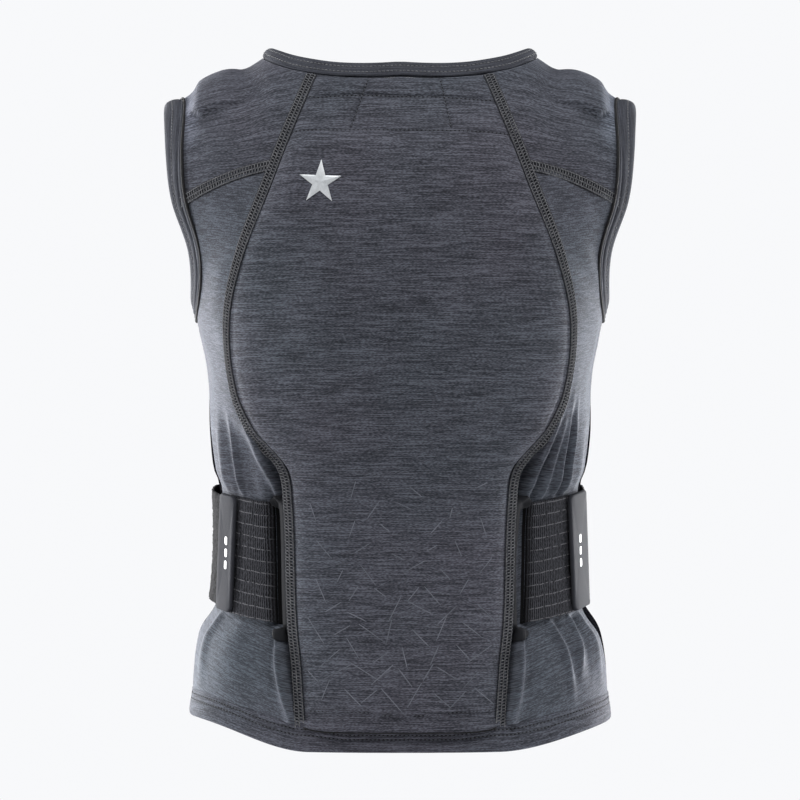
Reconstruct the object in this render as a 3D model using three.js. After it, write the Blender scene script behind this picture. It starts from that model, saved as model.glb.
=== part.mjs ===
// A child's sleeveless back-protector vest, in the form it has when worn.
// Millimetres, +Z up. The back faces -Y. The origin is the shoulder seat, midway between the two ridges.
import * as THREE from "three";

const DEG = Math.PI / 180;
const { clamp, lerp, smoothstep } = THREE.MathUtils;

// Sections of the form: half width, and depth from the side line to the back and to the front.
const BODY = [
  { z: -420, half: 132, back: 86, front: 80 },
  { z: -378, half: 128, back: 85, front: 80 },
  { z: -345, half: 118.5, back: 81.5, front: 77.5 },
  { z: -319, half: 113, back: 79, front: 75 },
  { z: -285, half: 111, back: 78.5, front: 74 },
  { z: -250, half: 112, back: 80.5, front: 75 },
  { z: -215, half: 116.8, back: 86, front: 78.5 },
  { z: -180, half: 119.6, back: 91, front: 81 },
  { z: -146, half: 126.8, back: 95, front: 83 },
  { z: -110, half: 136, back: 95.5, front: 82 },
  { z: -80, half: 149, back: 94, front: 79 },
  { z: -50, half: 156, back: 91, front: 74 },
  { z: -20, half: 161, back: 88, front: 68 },
  { z: 40, half: 169, back: 84, front: 62 },
];
const SQUARENESS = 2.4; // exponent of the sections: 2 would be an ellipse

// Height of the shoulder ridge by distance from the middle. Inside the neck opening it is only a guide.
const RIDGE = [
  { x: 0, z: 34 },
  { x: 50, z: 29 },
  { x: 76, z: 19 },
  { x: 86, z: 11.8 },
  { x: 98, z: 4.2 },
  { x: 110, z: 0.6 },
  { x: 124, z: -6.5 },
  { x: 150, z: -22 },
];
const ARCH_START = -85; // height where back and front begin to lean together over the shoulder
const ARCH_POWER = 2.2;

// The long seam on each side of the back panel: half width of the panel by height.
const BACK_SEAM = [
  { z: -398, x: 60 },
  { z: -330, x: 64.3 },
  { z: -264, x: 66.4 },
  { z: -242, x: 70.5 },
  { z: -218, x: 87.2 },
  { z: -194, x: 97 },
  { z: -150, x: 101 },
  { z: -110, x: 93.2 },
  { z: -57, x: 75.2 },
  { z: 10, x: 48.5 },
];
const YOKE_HEIGHT = -59; // where the yoke begins on this seam
const ROW = { belt: 5, overBelt: 9, armpit: 13, yoke: 24, neck: 28 }; // rows of the panels that meet at it

const NECK = { half: 85, rear: 67.2, front: 66, rearPower: 3, frontPower: 2.3 };
const NECK_EDGE = { half: 76, rear: 60.2, front: 58, rearPower: 3, frontPower: 2.3 };
const ARMHOLE = { middle: -80, half: 51, up: 66, down: 66, power: 2.5 };
const ARMHOLE_EDGE = { middle: -80, half: 43.5, up: 58.8, down: 57, power: 2.5 };
const YOKE_REAR_ANGLE = 90 * DEG; // place of the yoke's rear seam on the armhole, from its top
const YOKE_FRONT_ANGLE = -77 * DEG;
const YOKE_NECK_ANGLE = 125 * DEG; // place of the yoke's front seam on the neck, from the rear
const ARMPIT_ANGLE = 193.6 * DEG; // place of the side seam on the armhole


// Place of the side seam by height, in degrees from the middle of the back: the belt draws it backwards.
const SIDE_SEAM = [
  { z: -412, angle: 91 },
  { z: -378, angle: 86 },
  { z: -345, angle: 77 },
  { z: -285, angle: 76 },
  { z: -250, angle: 77 },
  { z: -215, angle: 81 },
  { z: -180, angle: 91 },
  { z: -140, angle: 98 },
];

// The hem dips in the middle of the back and climbs differently to the two sides.
const HEM = {
  back: -412,
  front: -394,
  height: 16,
  width: 131.5,
  left: { rise: 17, from: 0.42, to: 1 },
  right: { rise: 16, from: 0.45, to: 1.15 },
};
const CLOTH = 0.75; // half thickness of the jersey
const EDGE_GAP = 0.3; // half of the gap between sewn neighbours

const PAD = { out: 9, within: 4, round: 20, top: -30, full: -52, foam: 2.2, skin: 0.9 };
// The protector's edge is stiff between these heights, and holds the side panel off the form.
const EDGE = { share: 0.62, low: -248, high: -212, fade: -112, gone: -64, reach: 46 };
const SHOULDER_PAD = { x: 109.5, half: 19.5, reach: 45 * DEG, height: 3.6 };

const BELT = {
  height: 72,
  slot: -300, // heights of its middle
  side: -287,
  front: -284,
  slotAngle: 32 * DEG,
  sideAngle: 98 * DEG,
  clear: 0.8,
};
const STRAP = { from: 38 * DEG, to: 63 * DEG, low: 1.6, high: 3.1 };
const FRONT_BAND = { from: 64 * DEG, to: 296 * DEG, height: 68, low: 1.75, high: 3.25 };
const TAB = { height: 72, low: 3.7, high: 6.3 };
const TAB_PLACE = {
  left: { from: 57.5 * DEG, to: 69.5 * DEG },
  right: { from: 61 * DEG, to: 78 * DEG },
};
const PATCH = { spine: 7.2, lobe: 11.5, top: -255, bottom: -346, lobeHeight: 6, low: 2.3, high: 3.4 };
const PUFF = { below: 6, above: 2.6, reach: 12 }; // how far the cloth swells beside the belt
const SLOT_DIP = 2.2; // how far the belt draws the side panel in beside the back panel
const SLOT_LIFT = 3; // how far the panel's edge stands out there
const ZIP = { half: 5, low: -0.9, high: 0.9, rows: 20 };
const STAR = { x: -46.4, z: -71.5, radius: 12.8, inner: 4.7, top: 87 * DEG, low: 0.45, high: 0.85 };
const TAPE = { half: 1.5, neckRoll: 1.8, armRoll: 2.4 }; // the folded tapes are fuller on the shoulder

// Folds that the belt gathers in each side panel: angle at the belt and at the far end, height and width.
const FOLDS = [
  { side: "left", near: 38, far: 45, end: -198, height: 2.8, width: 6 },
  { side: "left", near: 56, far: 56, end: -205, height: 2.4, width: 6 },
  { side: "left", near: 73, far: 70, end: -196, height: 2.4, width: 7 },
  { side: "left", near: 37, far: 32, end: -392, height: 2.8, width: 6 },
  { side: "left", near: 52, far: 50, end: -384, height: 2, width: 7 },
  { side: "left", near: 70, far: 67, end: -385, height: 2.2, width: 7 },
  { side: "right", near: 38, far: 47, end: -198, height: 2.8, width: 6 },
  { side: "right", near: 52, far: 52, end: -203, height: 2.4, width: 5.5 },
  { side: "right", near: 61, far: 62, end: -200, height: 2.4, width: 5.5 },
  { side: "right", near: 76, far: 72, end: -196, height: 2.2, width: 7 },
  { side: "right", near: 37, far: 32, end: -392, height: 2.8, width: 6 },
  { side: "right", near: 46, far: 49, end: -388, height: 2.6, width: 6 },
  { side: "right", near: 59, far: 55, end: -386, height: 2.4, width: 6 },
  { side: "right", near: 72, far: 68, end: -385, height: 2.2, width: 7 },
];
const FOLD_RADIUS = 88; // turns an angle round the form into a distance on the cloth

// A smooth function through two columns of a table.
function through(table, key, column) {
  const keys = table.map((row) => row[key]);
  const values = table.map((row) => row[column]);
  const slopes = keys.map((_, i) => {
    const before = Math.max(i - 1, 0);
    const after = Math.min(i + 1, keys.length - 1);
    return (values[after] - values[before]) / (keys[after] - keys[before]);
  });
  return (key) => {
    let i = 0;
    while (i < keys.length - 2 && key > keys[i + 1]) i += 1;
    const span = keys[i + 1] - keys[i];
    const t = clamp((key - keys[i]) / span, 0, 1);
    const blend = t * t * (3 - 2 * t);
    const leave = t * (1 - t) * (1 - t) * span * slopes[i];
    const arrive = t * t * (t - 1) * span * slopes[i + 1];
    return values[i] + (values[i + 1] - values[i]) * blend + leave + arrive;
  };
}

const halfWidth = through(BODY, "z", "half");
const backDepth = through(BODY, "z", "back");
const frontDepth = through(BODY, "z", "front");
const ridgeAt = through(RIDGE, "x", "z");
const seamAt = through(BACK_SEAM, "z", "x");
const sideSeamDegrees = through(SIDE_SEAM, "z", "angle");
const sideSeamAt = (z) => sideSeamDegrees(z) * DEG;

// The place between a and b where a function changes sign.
function crossing(f, a, b) {
  const rising = f(b) > f(a);
  let low = a;
  let high = b;
  for (let step = 0; step < 50; step += 1) {
    const middle = (low + high) / 2;
    if (f(middle) > 0 === rising) high = middle;
    else low = middle;
  }
  return (low + high) / 2;
}

const signedPower = (value, power) => Math.sign(value) * Math.abs(value) ** power;

function lean(x, z) {
  if (z <= ARCH_START) return 1;
  const t = Math.min((z - ARCH_START) / (ridgeAt(Math.abs(x)) - ARCH_START), 1);
  return (1 - t ** ARCH_POWER) ** (1 / ARCH_POWER);
}

// Depth of the form at a distance x from the middle and a height, to the back (-1) or to the front (1).
function depthAt(x, z, facing) {
  const u = Math.min(Math.abs(x) / halfWidth(z), 1);
  const full = facing < 0 ? backDepth(z) : frontDepth(z);
  return facing * full * (1 - u ** SQUARENESS) ** (1 / SQUARENESS) * lean(x, z);
}

const backPoint = (x, z) => new THREE.Vector3(x, depthAt(x, z, -1), z);
const frontPoint = (x, z) => new THREE.Vector3(x, depthAt(x, z, 1), z);

// The form by angle from the middle of the back and by height.
function aroundPoint(angle, z) {
  const x = halfWidth(z) * signedPower(Math.sin(angle), 2 / SQUARENESS);
  const full = Math.cos(angle) >= 0 ? backDepth(z) : frontDepth(z);
  const y = -full * signedPower(Math.cos(angle), 2 / SQUARENESS) * lean(x, z);
  return new THREE.Vector3(x, y, z);
}

// The form over the shoulder, by distance from the middle and by angle from the ridge.
function overPoint(x, tilt) {
  const rise = Math.max(Math.cos(tilt), 0) ** (2 / ARCH_POWER);
  const z = ARCH_START + (ridgeAt(Math.abs(x)) - ARCH_START) * rise;
  const full = tilt < 0 ? backDepth(z) : frontDepth(z);
  const u = Math.min(Math.abs(x) / halfWidth(z), 1);
  const y = full * (1 - u ** SQUARENESS) ** (1 / SQUARENESS) * signedPower(Math.sin(tilt), 2 / ARCH_POWER);
  return new THREE.Vector3(x, y, z);
}

function angleOf(point) {
  const full = (point.y < 0 ? backDepth(point.z) : frontDepth(point.z)) * lean(point.x, point.z);
  const s = signedPower(point.x / halfWidth(point.z), SQUARENESS / 2);
  const c = signedPower(-point.y / full, SQUARENESS / 2);
  return Math.atan2(s, c);
}

function tiltOf(point) {
  const t = clamp((point.z - ARCH_START) / (ridgeAt(Math.abs(point.x)) - ARCH_START), 0, 1);
  return (point.y < 0 ? -1 : 1) * Math.acos(t ** (ARCH_POWER / 2));
}

const tiltAtDepth = (x, y) =>
  crossing((tilt) => overPoint(x, tilt).y - y, y < 0 ? -Math.PI / 2 : 0, y < 0 ? 0 : Math.PI / 2);

// Outward normal of the form at one of its points.
function normalAt(point) {
  const overShoulder = point.z > -62;
  const chart = overShoulder ? overPoint : aroundPoint;
  const p = overShoulder ? point.x : angleOf(point);
  const q = overShoulder ? tiltOf(point) : point.z;
  const pStep = overShoulder ? 0.4 : 0.006;
  const qStep = overShoulder ? 0.01 : 0.4;
  const across = chart(p + pStep, q).sub(chart(p - pStep, q));
  const up = chart(p, q + qStep).sub(chart(p, q - qStep));
  return across.cross(up).normalize();
}

const standOff = (point, distance) => point.clone().addScaledVector(normalAt(point), distance);

// A point of an armhole's edge on the right: the angle runs from its top, rear side first.
function armholePoint(angle, edge) {
  const y = -edge.half * signedPower(Math.sin(angle), 2 / edge.power);
  const reach = Math.cos(angle) > 0 ? edge.up : edge.down;
  const z = edge.middle + reach * signedPower(Math.cos(angle), 2 / edge.power);
  const facing = y < 0 ? -1 : 1;
  const x = crossing((x) => Math.abs(y) + 1e-4 - Math.abs(depthAt(x, z, facing)), 60, halfWidth(z));
  return new THREE.Vector3(x, depthAt(x, z, facing), z);
}

// A point of the neck's edge: the angle runs from the middle of the back.
function neckPoint(angle, edge) {
  const rear = Math.cos(angle) > 0;
  const power = 2 / (rear ? edge.rearPower : edge.frontPower);
  const x = edge.half * signedPower(Math.sin(angle), power);
  const y = -(rear ? edge.rear : edge.front) * signedPower(Math.cos(angle), power);
  return overPoint(x, tiltAtDepth(x, y));
}

// Lower edge of the hem by distance from the middle, at the back (-1) or at the front (1).
function hemAt(x, facing, side = x < 0 ? "left" : "right") {
  const { rise, from, to } = HEM[side];
  const u = Math.abs(x) / HEM.width;
  if (facing < 0) return HEM.back + rise * smoothstep(u, from, to);
  const end = HEM.back + rise * smoothstep(1, from, to);
  return lerp(HEM.front, end, smoothstep(u, 0.6, 1));
}

function hemAround(angle, side) {
  const x = HEM.width * signedPower(Math.sin(angle), 2 / SQUARENESS);
  return hemAt(x, Math.cos(angle) > 0 ? -1 : 1, side);
}

// A closed solid that faces out, whichever way its triangles were listed.
function solid(points, triangles) {
  let volume = 0;
  for (const [a, b, c] of triangles) volume += points[a].dot(points[b].clone().cross(points[c]));
  const ordered = volume < 0 ? triangles.map(([a, b, c]) => [a, c, b]) : triangles;
  const geometry = new THREE.BufferGeometry().setFromPoints(points);
  geometry.setIndex(ordered.flat());
  geometry.computeVertexNormals();
  return geometry;
}

// A closed wall: place(s, t) is a point of the form, layers(point, s, t) how far its two faces stand off.
function wall({ columns, rows, place, layers }) {
  const points = [];
  const triangles = [];
  const across = columns + 1;
  const inner = across * (rows + 1);
  const inside = [];
  for (let j = 0; j <= rows; j += 1) {
    for (let i = 0; i <= columns; i += 1) {
      const at = place(i / columns, j / rows);
      const [low, high] = layers(at, i / columns, j / rows);
      const out = normalAt(at);
      points.push(at.clone().addScaledVector(out, high));
      inside.push(at.clone().addScaledVector(out, low));
    }
  }
  points.push(...inside);
  for (let j = 0; j < rows; j += 1) {
    for (let i = 0; i < columns; i += 1) {
      const a = j * across + i;
      const b = a + 1;
      const c = b + across;
      const d = a + across;
      triangles.push([a, b, c], [a, c, d]);
      triangles.push([inner + a, inner + c, inner + b], [inner + a, inner + d, inner + c]);
    }
  }
  const rim = [];
  for (let i = 0; i < columns; i += 1) rim.push(i);
  for (let j = 0; j < rows; j += 1) rim.push(j * across + columns);
  for (let i = columns; i > 0; i -= 1) rim.push(rows * across + i);
  for (let j = rows; j > 0; j -= 1) rim.push(j * across);
  rim.forEach((a, k) => {
    const b = rim[(k + 1) % rim.length];
    triangles.push([b, a, inner + a], [b, inner + a, inner + b]);
  });
  return solid(points, triangles);
}

// A closed solid through sections of equally many points, joined end to end or capped.
function loft(sections, joined) {
  const around = sections[0].length;
  const points = sections.flat();
  const triangles = [];
  const spans = joined ? sections.length : sections.length - 1;
  for (let k = 0; k < spans; k += 1) {
    const here = k * around;
    const next = ((k + 1) % sections.length) * around;
    for (let i = 0; i < around; i += 1) {
      const j = (i + 1) % around;
      triangles.push([here + i, here + j, next + j], [here + i, next + j, next + i]);
    }
  }
  if (!joined) {
    const last = (sections.length - 1) * around;
    for (let i = 1; i < around - 1; i += 1) {
      triangles.push([0, i + 1, i], [last, last + i, last + i + 1]);
    }
  }
  return solid(points, triangles);
}

// Section of a folded tape from its seam to its rounded free edge: roll is how far its middle swells.
function tapeSection(seam, edge, roll) {
  const { half } = TAPE;
  const middle = seam.clone().lerp(edge, 0.55);
  const outward = edge.clone().sub(seam).normalize();
  const seamOut = normalAt(seam);
  const edgeOut = normalAt(edge);
  const middleOut = seamOut.clone().add(edgeOut).normalize();
  const start = seam.clone().addScaledVector(outward, 2 * EDGE_GAP);
  const from = (base, direction, distance) => base.clone().addScaledVector(direction, distance);
  return [
    from(start, seamOut, -half),
    from(start, seamOut, half),
    from(middle, middleOut, half * 1.25 + roll),
    from(edge, edgeOut, half * 0.9 + 0.3 * roll),
    from(edge, outward, half * 0.8),
    from(edge, edgeOut, -half * 0.9),
    from(middle, middleOut, -half),
  ];
}

// Rows along the back seam, shared by the panels that meet there.
const neckAcross = (x, y) =>
  (x / NECK.half) ** NECK.rearPower + (Math.abs(y) / NECK.rear) ** NECK.rearPower - 1;
const seamTop = crossing((z) => neckAcross(seamAt(z), depthAt(seamAt(z), z, -1)), -20, 8);
const seamBottom = hemAt(seamAt(-398), -1) + HEM.height;
const neckSeamAngle = Math.asin((seamAt(seamTop) / NECK.half) ** (NECK.rearPower / 2));
const yokeJoint = backPoint(seamAt(YOKE_HEIGHT), YOKE_HEIGHT);
const yokeRearEnd = armholePoint(YOKE_REAR_ANGLE, ARMHOLE);
const yokeFrontEnd = armholePoint(YOKE_FRONT_ANGLE, ARMHOLE);
const yokeFrontNeck = neckPoint(YOKE_NECK_ANGLE, NECK);

// Height of the yoke's rear seam by distance from the middle.
function yokeSeamAt(x) {
  const t = (x - yokeJoint.x) / (yokeRearEnd.x - yokeJoint.x);
  return lerp(yokeJoint.z, yokeRearEnd.z, 0.45 * t + 0.55 * t * t);
}

function yokeFrontSeam(t) {
  const angle = lerp(angleOf(yokeFrontNeck), angleOf(yokeFrontEnd), t);
  return aroundPoint(angle, lerp(yokeFrontNeck.z, yokeFrontEnd.z, t));
}

// Height of the belt's middle by angle: it climbs a little from the slots to the front.
function beltAt(angle) {
  const a = Math.min(angle, 2 * Math.PI - angle);
  const { slotAngle, sideAngle } = BELT;
  if (a > sideAngle) return lerp(BELT.side, BELT.front, (a - sideAngle) / (Math.PI - sideAngle));
  return lerp(BELT.slot, BELT.side, (a - slotAngle) / (sideAngle - slotAngle));
}

const underBelt = (angle) => beltAt(angle) - BELT.height / 2 - BELT.clear;
const overBelt = (angle) => beltAt(angle) + BELT.height / 2 + BELT.clear;

// Height of a row where it meets the back seam.
function seamRowHeight(row) {
  const low = underBelt(BELT.slotAngle);
  const high = overBelt(BELT.slotAngle);
  if (row <= ROW.belt) return lerp(seamBottom, low, row / ROW.belt);
  if (row <= ROW.overBelt) return lerp(low, high, (row - ROW.belt) / (ROW.overBelt - ROW.belt));
  if (row <= ROW.yoke) return lerp(high, YOKE_HEIGHT, (row - ROW.overBelt) / (ROW.yoke - ROW.overBelt));
  return lerp(YOKE_HEIGHT, seamTop, (row - ROW.yoke) / (ROW.neck - ROW.yoke));
}

// How strongly a height lies beside the belt's slot, from 0 to 1.
const besideSlot = (z) => smoothstep(z, -365, -335) * (1 - smoothstep(z, -262, -232));

// How far the side panel and what lies on it are drawn in beside the back panel.
function dipAt(point) {
  if (point.y > 0) return 0;
  const away = Math.abs(point.x) - seamAt(point.z);
  return SLOT_DIP * besideSlot(point.z) * (1 - smoothstep(away, 3, 24));
}

// How much of the protector's thickness there is at a height, from 0 to 1.
const filledAt = (z) =>
  (1 - smoothstep(z, PAD.full, PAD.top)) * smoothstep(z, HEM.back + 14, HEM.back + 30);

// Share of that thickness that the protector keeps at its edge.
const edgeShare = (z) =>
  EDGE.share * smoothstep(z, EDGE.low, EDGE.high) * (1 - smoothstep(z, EDGE.fade, EDGE.gone));

// How far the protector's edge holds the side panel off the form, which it nears over a short reach.
function bridgeAt(distance, z) {
  const left = 1 - clamp(distance / EDGE.reach, 0, 1);
  return PAD.out * filledAt(z) * edgeShare(z) * left * left;
}

function padOut(x, z) {
  const inward = clamp((seamAt(z) - Math.abs(x)) / PAD.round, 0, 1);
  const round = lerp(edgeShare(z), 1, Math.sqrt(1 - (1 - inward) ** 2));
  const filled = filledAt(z);
  const lift = SLOT_LIFT * besideSlot(z);
  return PAD.skin + lift + ((PAD.out - lift) * filled + PAD.foam * (1 - filled)) * round;
}

function padIn(x, z) {
  const inward = clamp((seamAt(z) - Math.abs(x)) / PAD.round, 0, 1);
  return -PAD.skin - PAD.within * filledAt(z) * Math.sqrt(1 - (1 - inward) ** 2) - 1.6 * besideSlot(z);
}

function backPanel() {
  return wall({
    columns: 10,
    rows: ROW.neck,
    place: (s, t) => {
      const edgeHeight = seamRowHeight(t * ROW.neck);
      const x = (2 * s - 1) * (seamAt(edgeHeight) - EDGE_GAP);
      const neck = neckPoint(lerp(-neckSeamAngle, neckSeamAngle, s), NECK);
      const bottom = hemAt(x, -1) + HEM.height + EDGE_GAP - seamBottom;
      const z = edgeHeight + bottom * (1 - t) ** 4 + (neck.z - seamTop - 2 * EDGE_GAP) * t ** 6;
      return backPoint(x, z);
    },
    layers: ({ x, z }) => [padIn(x, z), padOut(x, z)],
  });
}

function foldHeight(side, angle, z) {
  let height = 0;
  for (const fold of FOLDS) {
    if (fold.side !== side) continue;
    const start = fold.end > BELT.slot ? overBelt(fold.near * DEG) : underBelt(fold.near * DEG);
    const along = clamp((z - start) / (fold.end - start), 0, 1);
    const centre = lerp(fold.near, fold.far, along) * DEG;
    const across = ((angle - centre) * FOLD_RADIUS) / fold.width;
    const fade = smoothstep(along, 0, 0.2) * (1 - smoothstep(along, 0.2, 1));
    const ridge = 1.35 * Math.exp(-across * across) - 0.35 * Math.exp((-across * across) / 6);
    height += fold.height * fade * ridge;
  }
  return height;
}

// The cloth swells out above and below the belt, and runs smoothly into the hem and the chest.
function puffAt(angle, z) {
  const below = underBelt(angle) - z;
  const above = z - overBelt(angle);
  const low = smoothstep(below, 0, PUFF.reach) * (1 - smoothstep(below, PUFF.reach, 58));
  const high = smoothstep(above, 0, PUFF.reach) * (1 - smoothstep(above, PUFF.reach, 60));
  return PUFF.below * low + PUFF.above * high;
}

// How far a side panel stands off the form at one of its points.
function sideCloth(side, at) {
  const angle = angleOf(at);
  const away = angle - angleOf(backPoint(seamAt(at.z), at.z));
  const toSide = sideSeamAt(at.z) - angle;
  const fromSeams = smoothstep(away, 0, 6 * DEG) * smoothstep(toSide, 0, 8 * DEG);
  const puff = puffAt(angle, at.z) * smoothstep(away, 0, 22 * DEG);
  return foldHeight(side, angle, at.z) * fromSeams + puff + bridgeAt(away * FOLD_RADIUS, at.z) - dipAt(at);
}

// Angle and height of a row where it meets the side seam, or the armhole above it.
function outerEdge(row, topRow, fromAngle, toAngle, side) {
  if (row > ROW.armpit) {
    const share = (row - ROW.armpit) / (topRow - ROW.armpit);
    const point = armholePoint(lerp(fromAngle, toAngle, share), ARMHOLE);
    return [angleOf(point), point.z];
  }
  const low = underBelt(sideSeamAt(BELT.side));
  const high = overBelt(sideSeamAt(BELT.side));
  const armpit = armholePoint(fromAngle, ARMHOLE).z;
  let z = lerp(high, armpit, (row - ROW.overBelt) / (ROW.armpit - ROW.overBelt));
  if (row <= ROW.overBelt) z = lerp(low, high, (row - ROW.belt) / (ROW.overBelt - ROW.belt));
  if (row <= ROW.belt) z = lerp(sideBottom(side), low, row / ROW.belt);
  return [sideSeamAt(z), z];
}

// Height of the panels' lower edge at the side seam.
const sideBottom = (side) => hemAround(sideSeamAt(HEM.back + HEM.height), side) + HEM.height;

function sidePanel(side) {
  return wall({
    columns: 14,
    rows: ROW.yoke,
    place: (s, t) => {
      const height = seamRowHeight(t * ROW.yoke);
      const start = angleOf(backPoint(seamAt(height) + EDGE_GAP, height));
      const [end, endHeight] = outerEdge(t * ROW.yoke, ROW.yoke, ARMPIT_ANGLE, YOKE_REAR_ANGLE, side);
      const angle = lerp(start, end, s);
      const straight = lerp(seamBottom, sideBottom(side), s);
      const hem = (hemAround(angle, side) + HEM.height + EDGE_GAP - straight) * (1 - t) ** 12;
      const chord = lerp(yokeJoint.z, yokeRearEnd.z, s);
      const topAngle = lerp(angleOf(yokeJoint), angleOf(yokeRearEnd), s);
      const nearly = yokeSeamAt(aroundPoint(topAngle, chord).x);
      const top = (yokeSeamAt(aroundPoint(topAngle, nearly).x) - chord) * t ** 8;
      return aroundPoint(angle, lerp(height, endHeight, s) + hem + top);
    },
    layers: (at) => {
      const off = sideCloth(side, at);
      return [off - CLOTH, off + CLOTH];
    },
  });
}

function frontPanel(side) {
  const topRow = 21;
  const neckRow = 16;
  const zipEdge = ZIP.half + 2 * EDGE_GAP;
  const collar = neckPoint(178 * DEG, NECK).z - EDGE_GAP;
  const armEnd = 2 * Math.PI + YOKE_FRONT_ANGLE;
  const zipHeight = (row) => {
    const low = underBelt(Math.PI);
    const high = overBelt(Math.PI);
    if (row <= ROW.belt) return lerp(HEM.front + HEM.height, low, row / ROW.belt);
    if (row <= ROW.overBelt) return lerp(low, high, (row - ROW.belt) / (ROW.overBelt - ROW.belt));
    return lerp(high, collar, (row - ROW.overBelt) / (neckRow - ROW.overBelt));
  };
  const zipSide = (row) => {
    if (row <= neckRow) return [angleOf(frontPoint(zipEdge, zipHeight(row))), zipHeight(row)];
    const share = (row - neckRow) / (topRow - neckRow);
    const start = Math.PI - Math.asin((zipEdge / NECK.half) ** (NECK.frontPower / 2));
    const point = neckPoint(lerp(start, YOKE_NECK_ANGLE, share), NECK);
    return [angleOf(point), point.z - EDGE_GAP];
  };
  return wall({
    columns: 10,
    rows: topRow,
    place: (s, t) => {
      const [start, startHeight] = outerEdge(t * topRow, topRow, ARMPIT_ANGLE, armEnd, side);
      const [end, endHeight] = zipSide(t * topRow);
      const angle = lerp(start + 0.007, end, s);
      const straight = lerp(sideBottom(side), HEM.front + HEM.height, s);
      const hem = (hemAround(angle, side) + HEM.height + EDGE_GAP - straight) * (1 - t) ** 12;
      return aroundPoint(angle, lerp(startHeight, endHeight, s) + hem - 2 * EDGE_GAP * t ** 8);
    },
    layers: (at) => {
      const off = puffAt(angleOf(at), at.z);
      return [off - CLOTH, off + CLOTH];
    },
  });
}

function shoulderPad(x, tilt) {
  const across = (x - SHOULDER_PAD.x) / SHOULDER_PAD.half;
  const reach = (across ** 4 + (tilt / SHOULDER_PAD.reach) ** 4) ** 0.25;
  return SHOULDER_PAD.height * (1 - smoothstep(reach, 0.75, 1.1));
}

function yoke() {
  const inChart = (point) => new THREE.Vector2(point.x, tiltOf(point));
  const rear = (s) => {
    if (s > 0.5) {
      const x = lerp(yokeJoint.x, yokeRearEnd.x, 2 * s - 1);
      return inChart(backPoint(x, yokeSeamAt(x) + 3 * EDGE_GAP));
    }
    const z = lerp(seamTop, yokeJoint.z + 3 * EDGE_GAP, 2 * s);
    return inChart(backPoint(seamAt(z) + EDGE_GAP, z));
  };
  const front = (s) => inChart(yokeFrontSeam(s));
  const neck = (t) => inChart(neckPoint(lerp(neckSeamAngle, YOKE_NECK_ANGLE, t), NECK));
  const arm = (t) => inChart(armholePoint(lerp(YOKE_REAR_ANGLE, YOKE_FRONT_ANGLE, t), ARMHOLE));
  const mix = (s, t, part) => {
    const edges = (1 - t) * rear(s)[part] + t * front(s)[part] + (1 - s) * neck(t)[part] + s * arm(t)[part];
    const low = (1 - s) * rear(0)[part] + s * rear(1)[part];
    const high = (1 - s) * front(0)[part] + s * front(1)[part];
    return edges - (1 - t) * low - t * high;
  };
  return wall({
    columns: 10,
    rows: 16,
    place: (s, t) => overPoint(mix(s, t, "x"), mix(s, t, "y")),
    layers: (at) => [-CLOTH, CLOTH + shoulderPad(at.x, tiltOf(at))],
  });
}

function ring({ seam, free, from, to, count, roll, joined }) {
  const sections = [];
  for (let k = 0; k < count; k += 1) {
    const angle = lerp(from, to, joined ? k / count : k / (count - 1));
    sections.push(tapeSection(seam(angle), free(angle), roll(angle)));
  }
  return loft(sections, joined);
}

function neckBinding() {
  const end = 180 * DEG - 0.05;
  return ring({
    seam: (angle) => neckPoint(angle, NECK),
    free: (angle) => neckPoint(angle, NECK_EDGE),
    from: -end,
    to: end,
    count: 45,
    roll: (angle) => TAPE.neckRoll * Math.sin(angle) ** 8,
    joined: false,
  });
}

function armholeBinding() {
  return ring({
    seam: (angle) => armholePoint(angle, ARMHOLE),
    free: (angle) => armholePoint(angle, ARMHOLE_EDGE),
    from: 4 * DEG,
    to: 364 * DEG,
    count: 32,
    roll: (angle) => TAPE.armRoll * Math.max(Math.cos(angle), 0) ** 4,
    joined: true,
  });
}

function hemBand() {
  const end = Math.PI - 0.023;
  const half = 1.3;
  const sections = [];
  for (let k = 0; k <= 56; k += 1) {
    const angle = lerp(-end, end, k / 56);
    const low = hemAround(angle);
    const top = aroundPoint(angle, low + HEM.height - EDGE_GAP);
    const turned = aroundPoint(angle, low + 1.2);
    const tip = aroundPoint(angle, low);
    const outer = [standOff(top, half), standOff(turned, half)];
    sections.push([standOff(top, -half), ...outer, tip, standOff(turned, -half)]);
  }
  return loft(sections, false);
}

function frontZip() {
  const top = neckPoint(180 * DEG, NECK_EDGE).z - 1;
  return wall({
    columns: 4,
    rows: ZIP.rows,
    place: (s, t) => frontPoint((1 - 2 * s) * ZIP.half, lerp(HEM.front + 1, top, t)),
    layers: (at, s) => {
      const off = puffAt(Math.PI, at.z);
      return [off + ZIP.low, off + ZIP.high - 1.2 * Math.abs(s - 0.5)];
    },
  });
}

function band({ from, to, low, high }, columns, height) {
  return wall({
    columns,
    rows: 4,
    place: (s, t) => {
      const angle = lerp(from, to, s);
      return aroundPoint(angle, beltAt(angle) + (t - 0.5) * height);
    },
    layers: (at) => [low - dipAt(at), high - dipAt(at)],
  });
}

function beltTab(side) {
  const { from, to } = TAB_PLACE[side];
  return wall({
    columns: 4,
    rows: 8,
    place: (s, t) => {
      const nearEnd = Math.max(0, Math.abs(t - 0.5) - 0.44) / 0.06;
      const narrow = 1 - 0.3 * nearEnd;
      const angle = lerp(from, to, 0.5 + (s - 0.5) * narrow);
      return aroundPoint(angle, beltAt(angle) + (t - 0.5) * TAB.height);
    },
    layers: (_, s, t) => {
      const rim = Math.max(Math.abs(2 * s - 1), Math.abs(2 * t - 1)) > 0.99 ? 0.9 : 0;
      return [TAB.low, TAB.high - rim];
    },
  });
}

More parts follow.
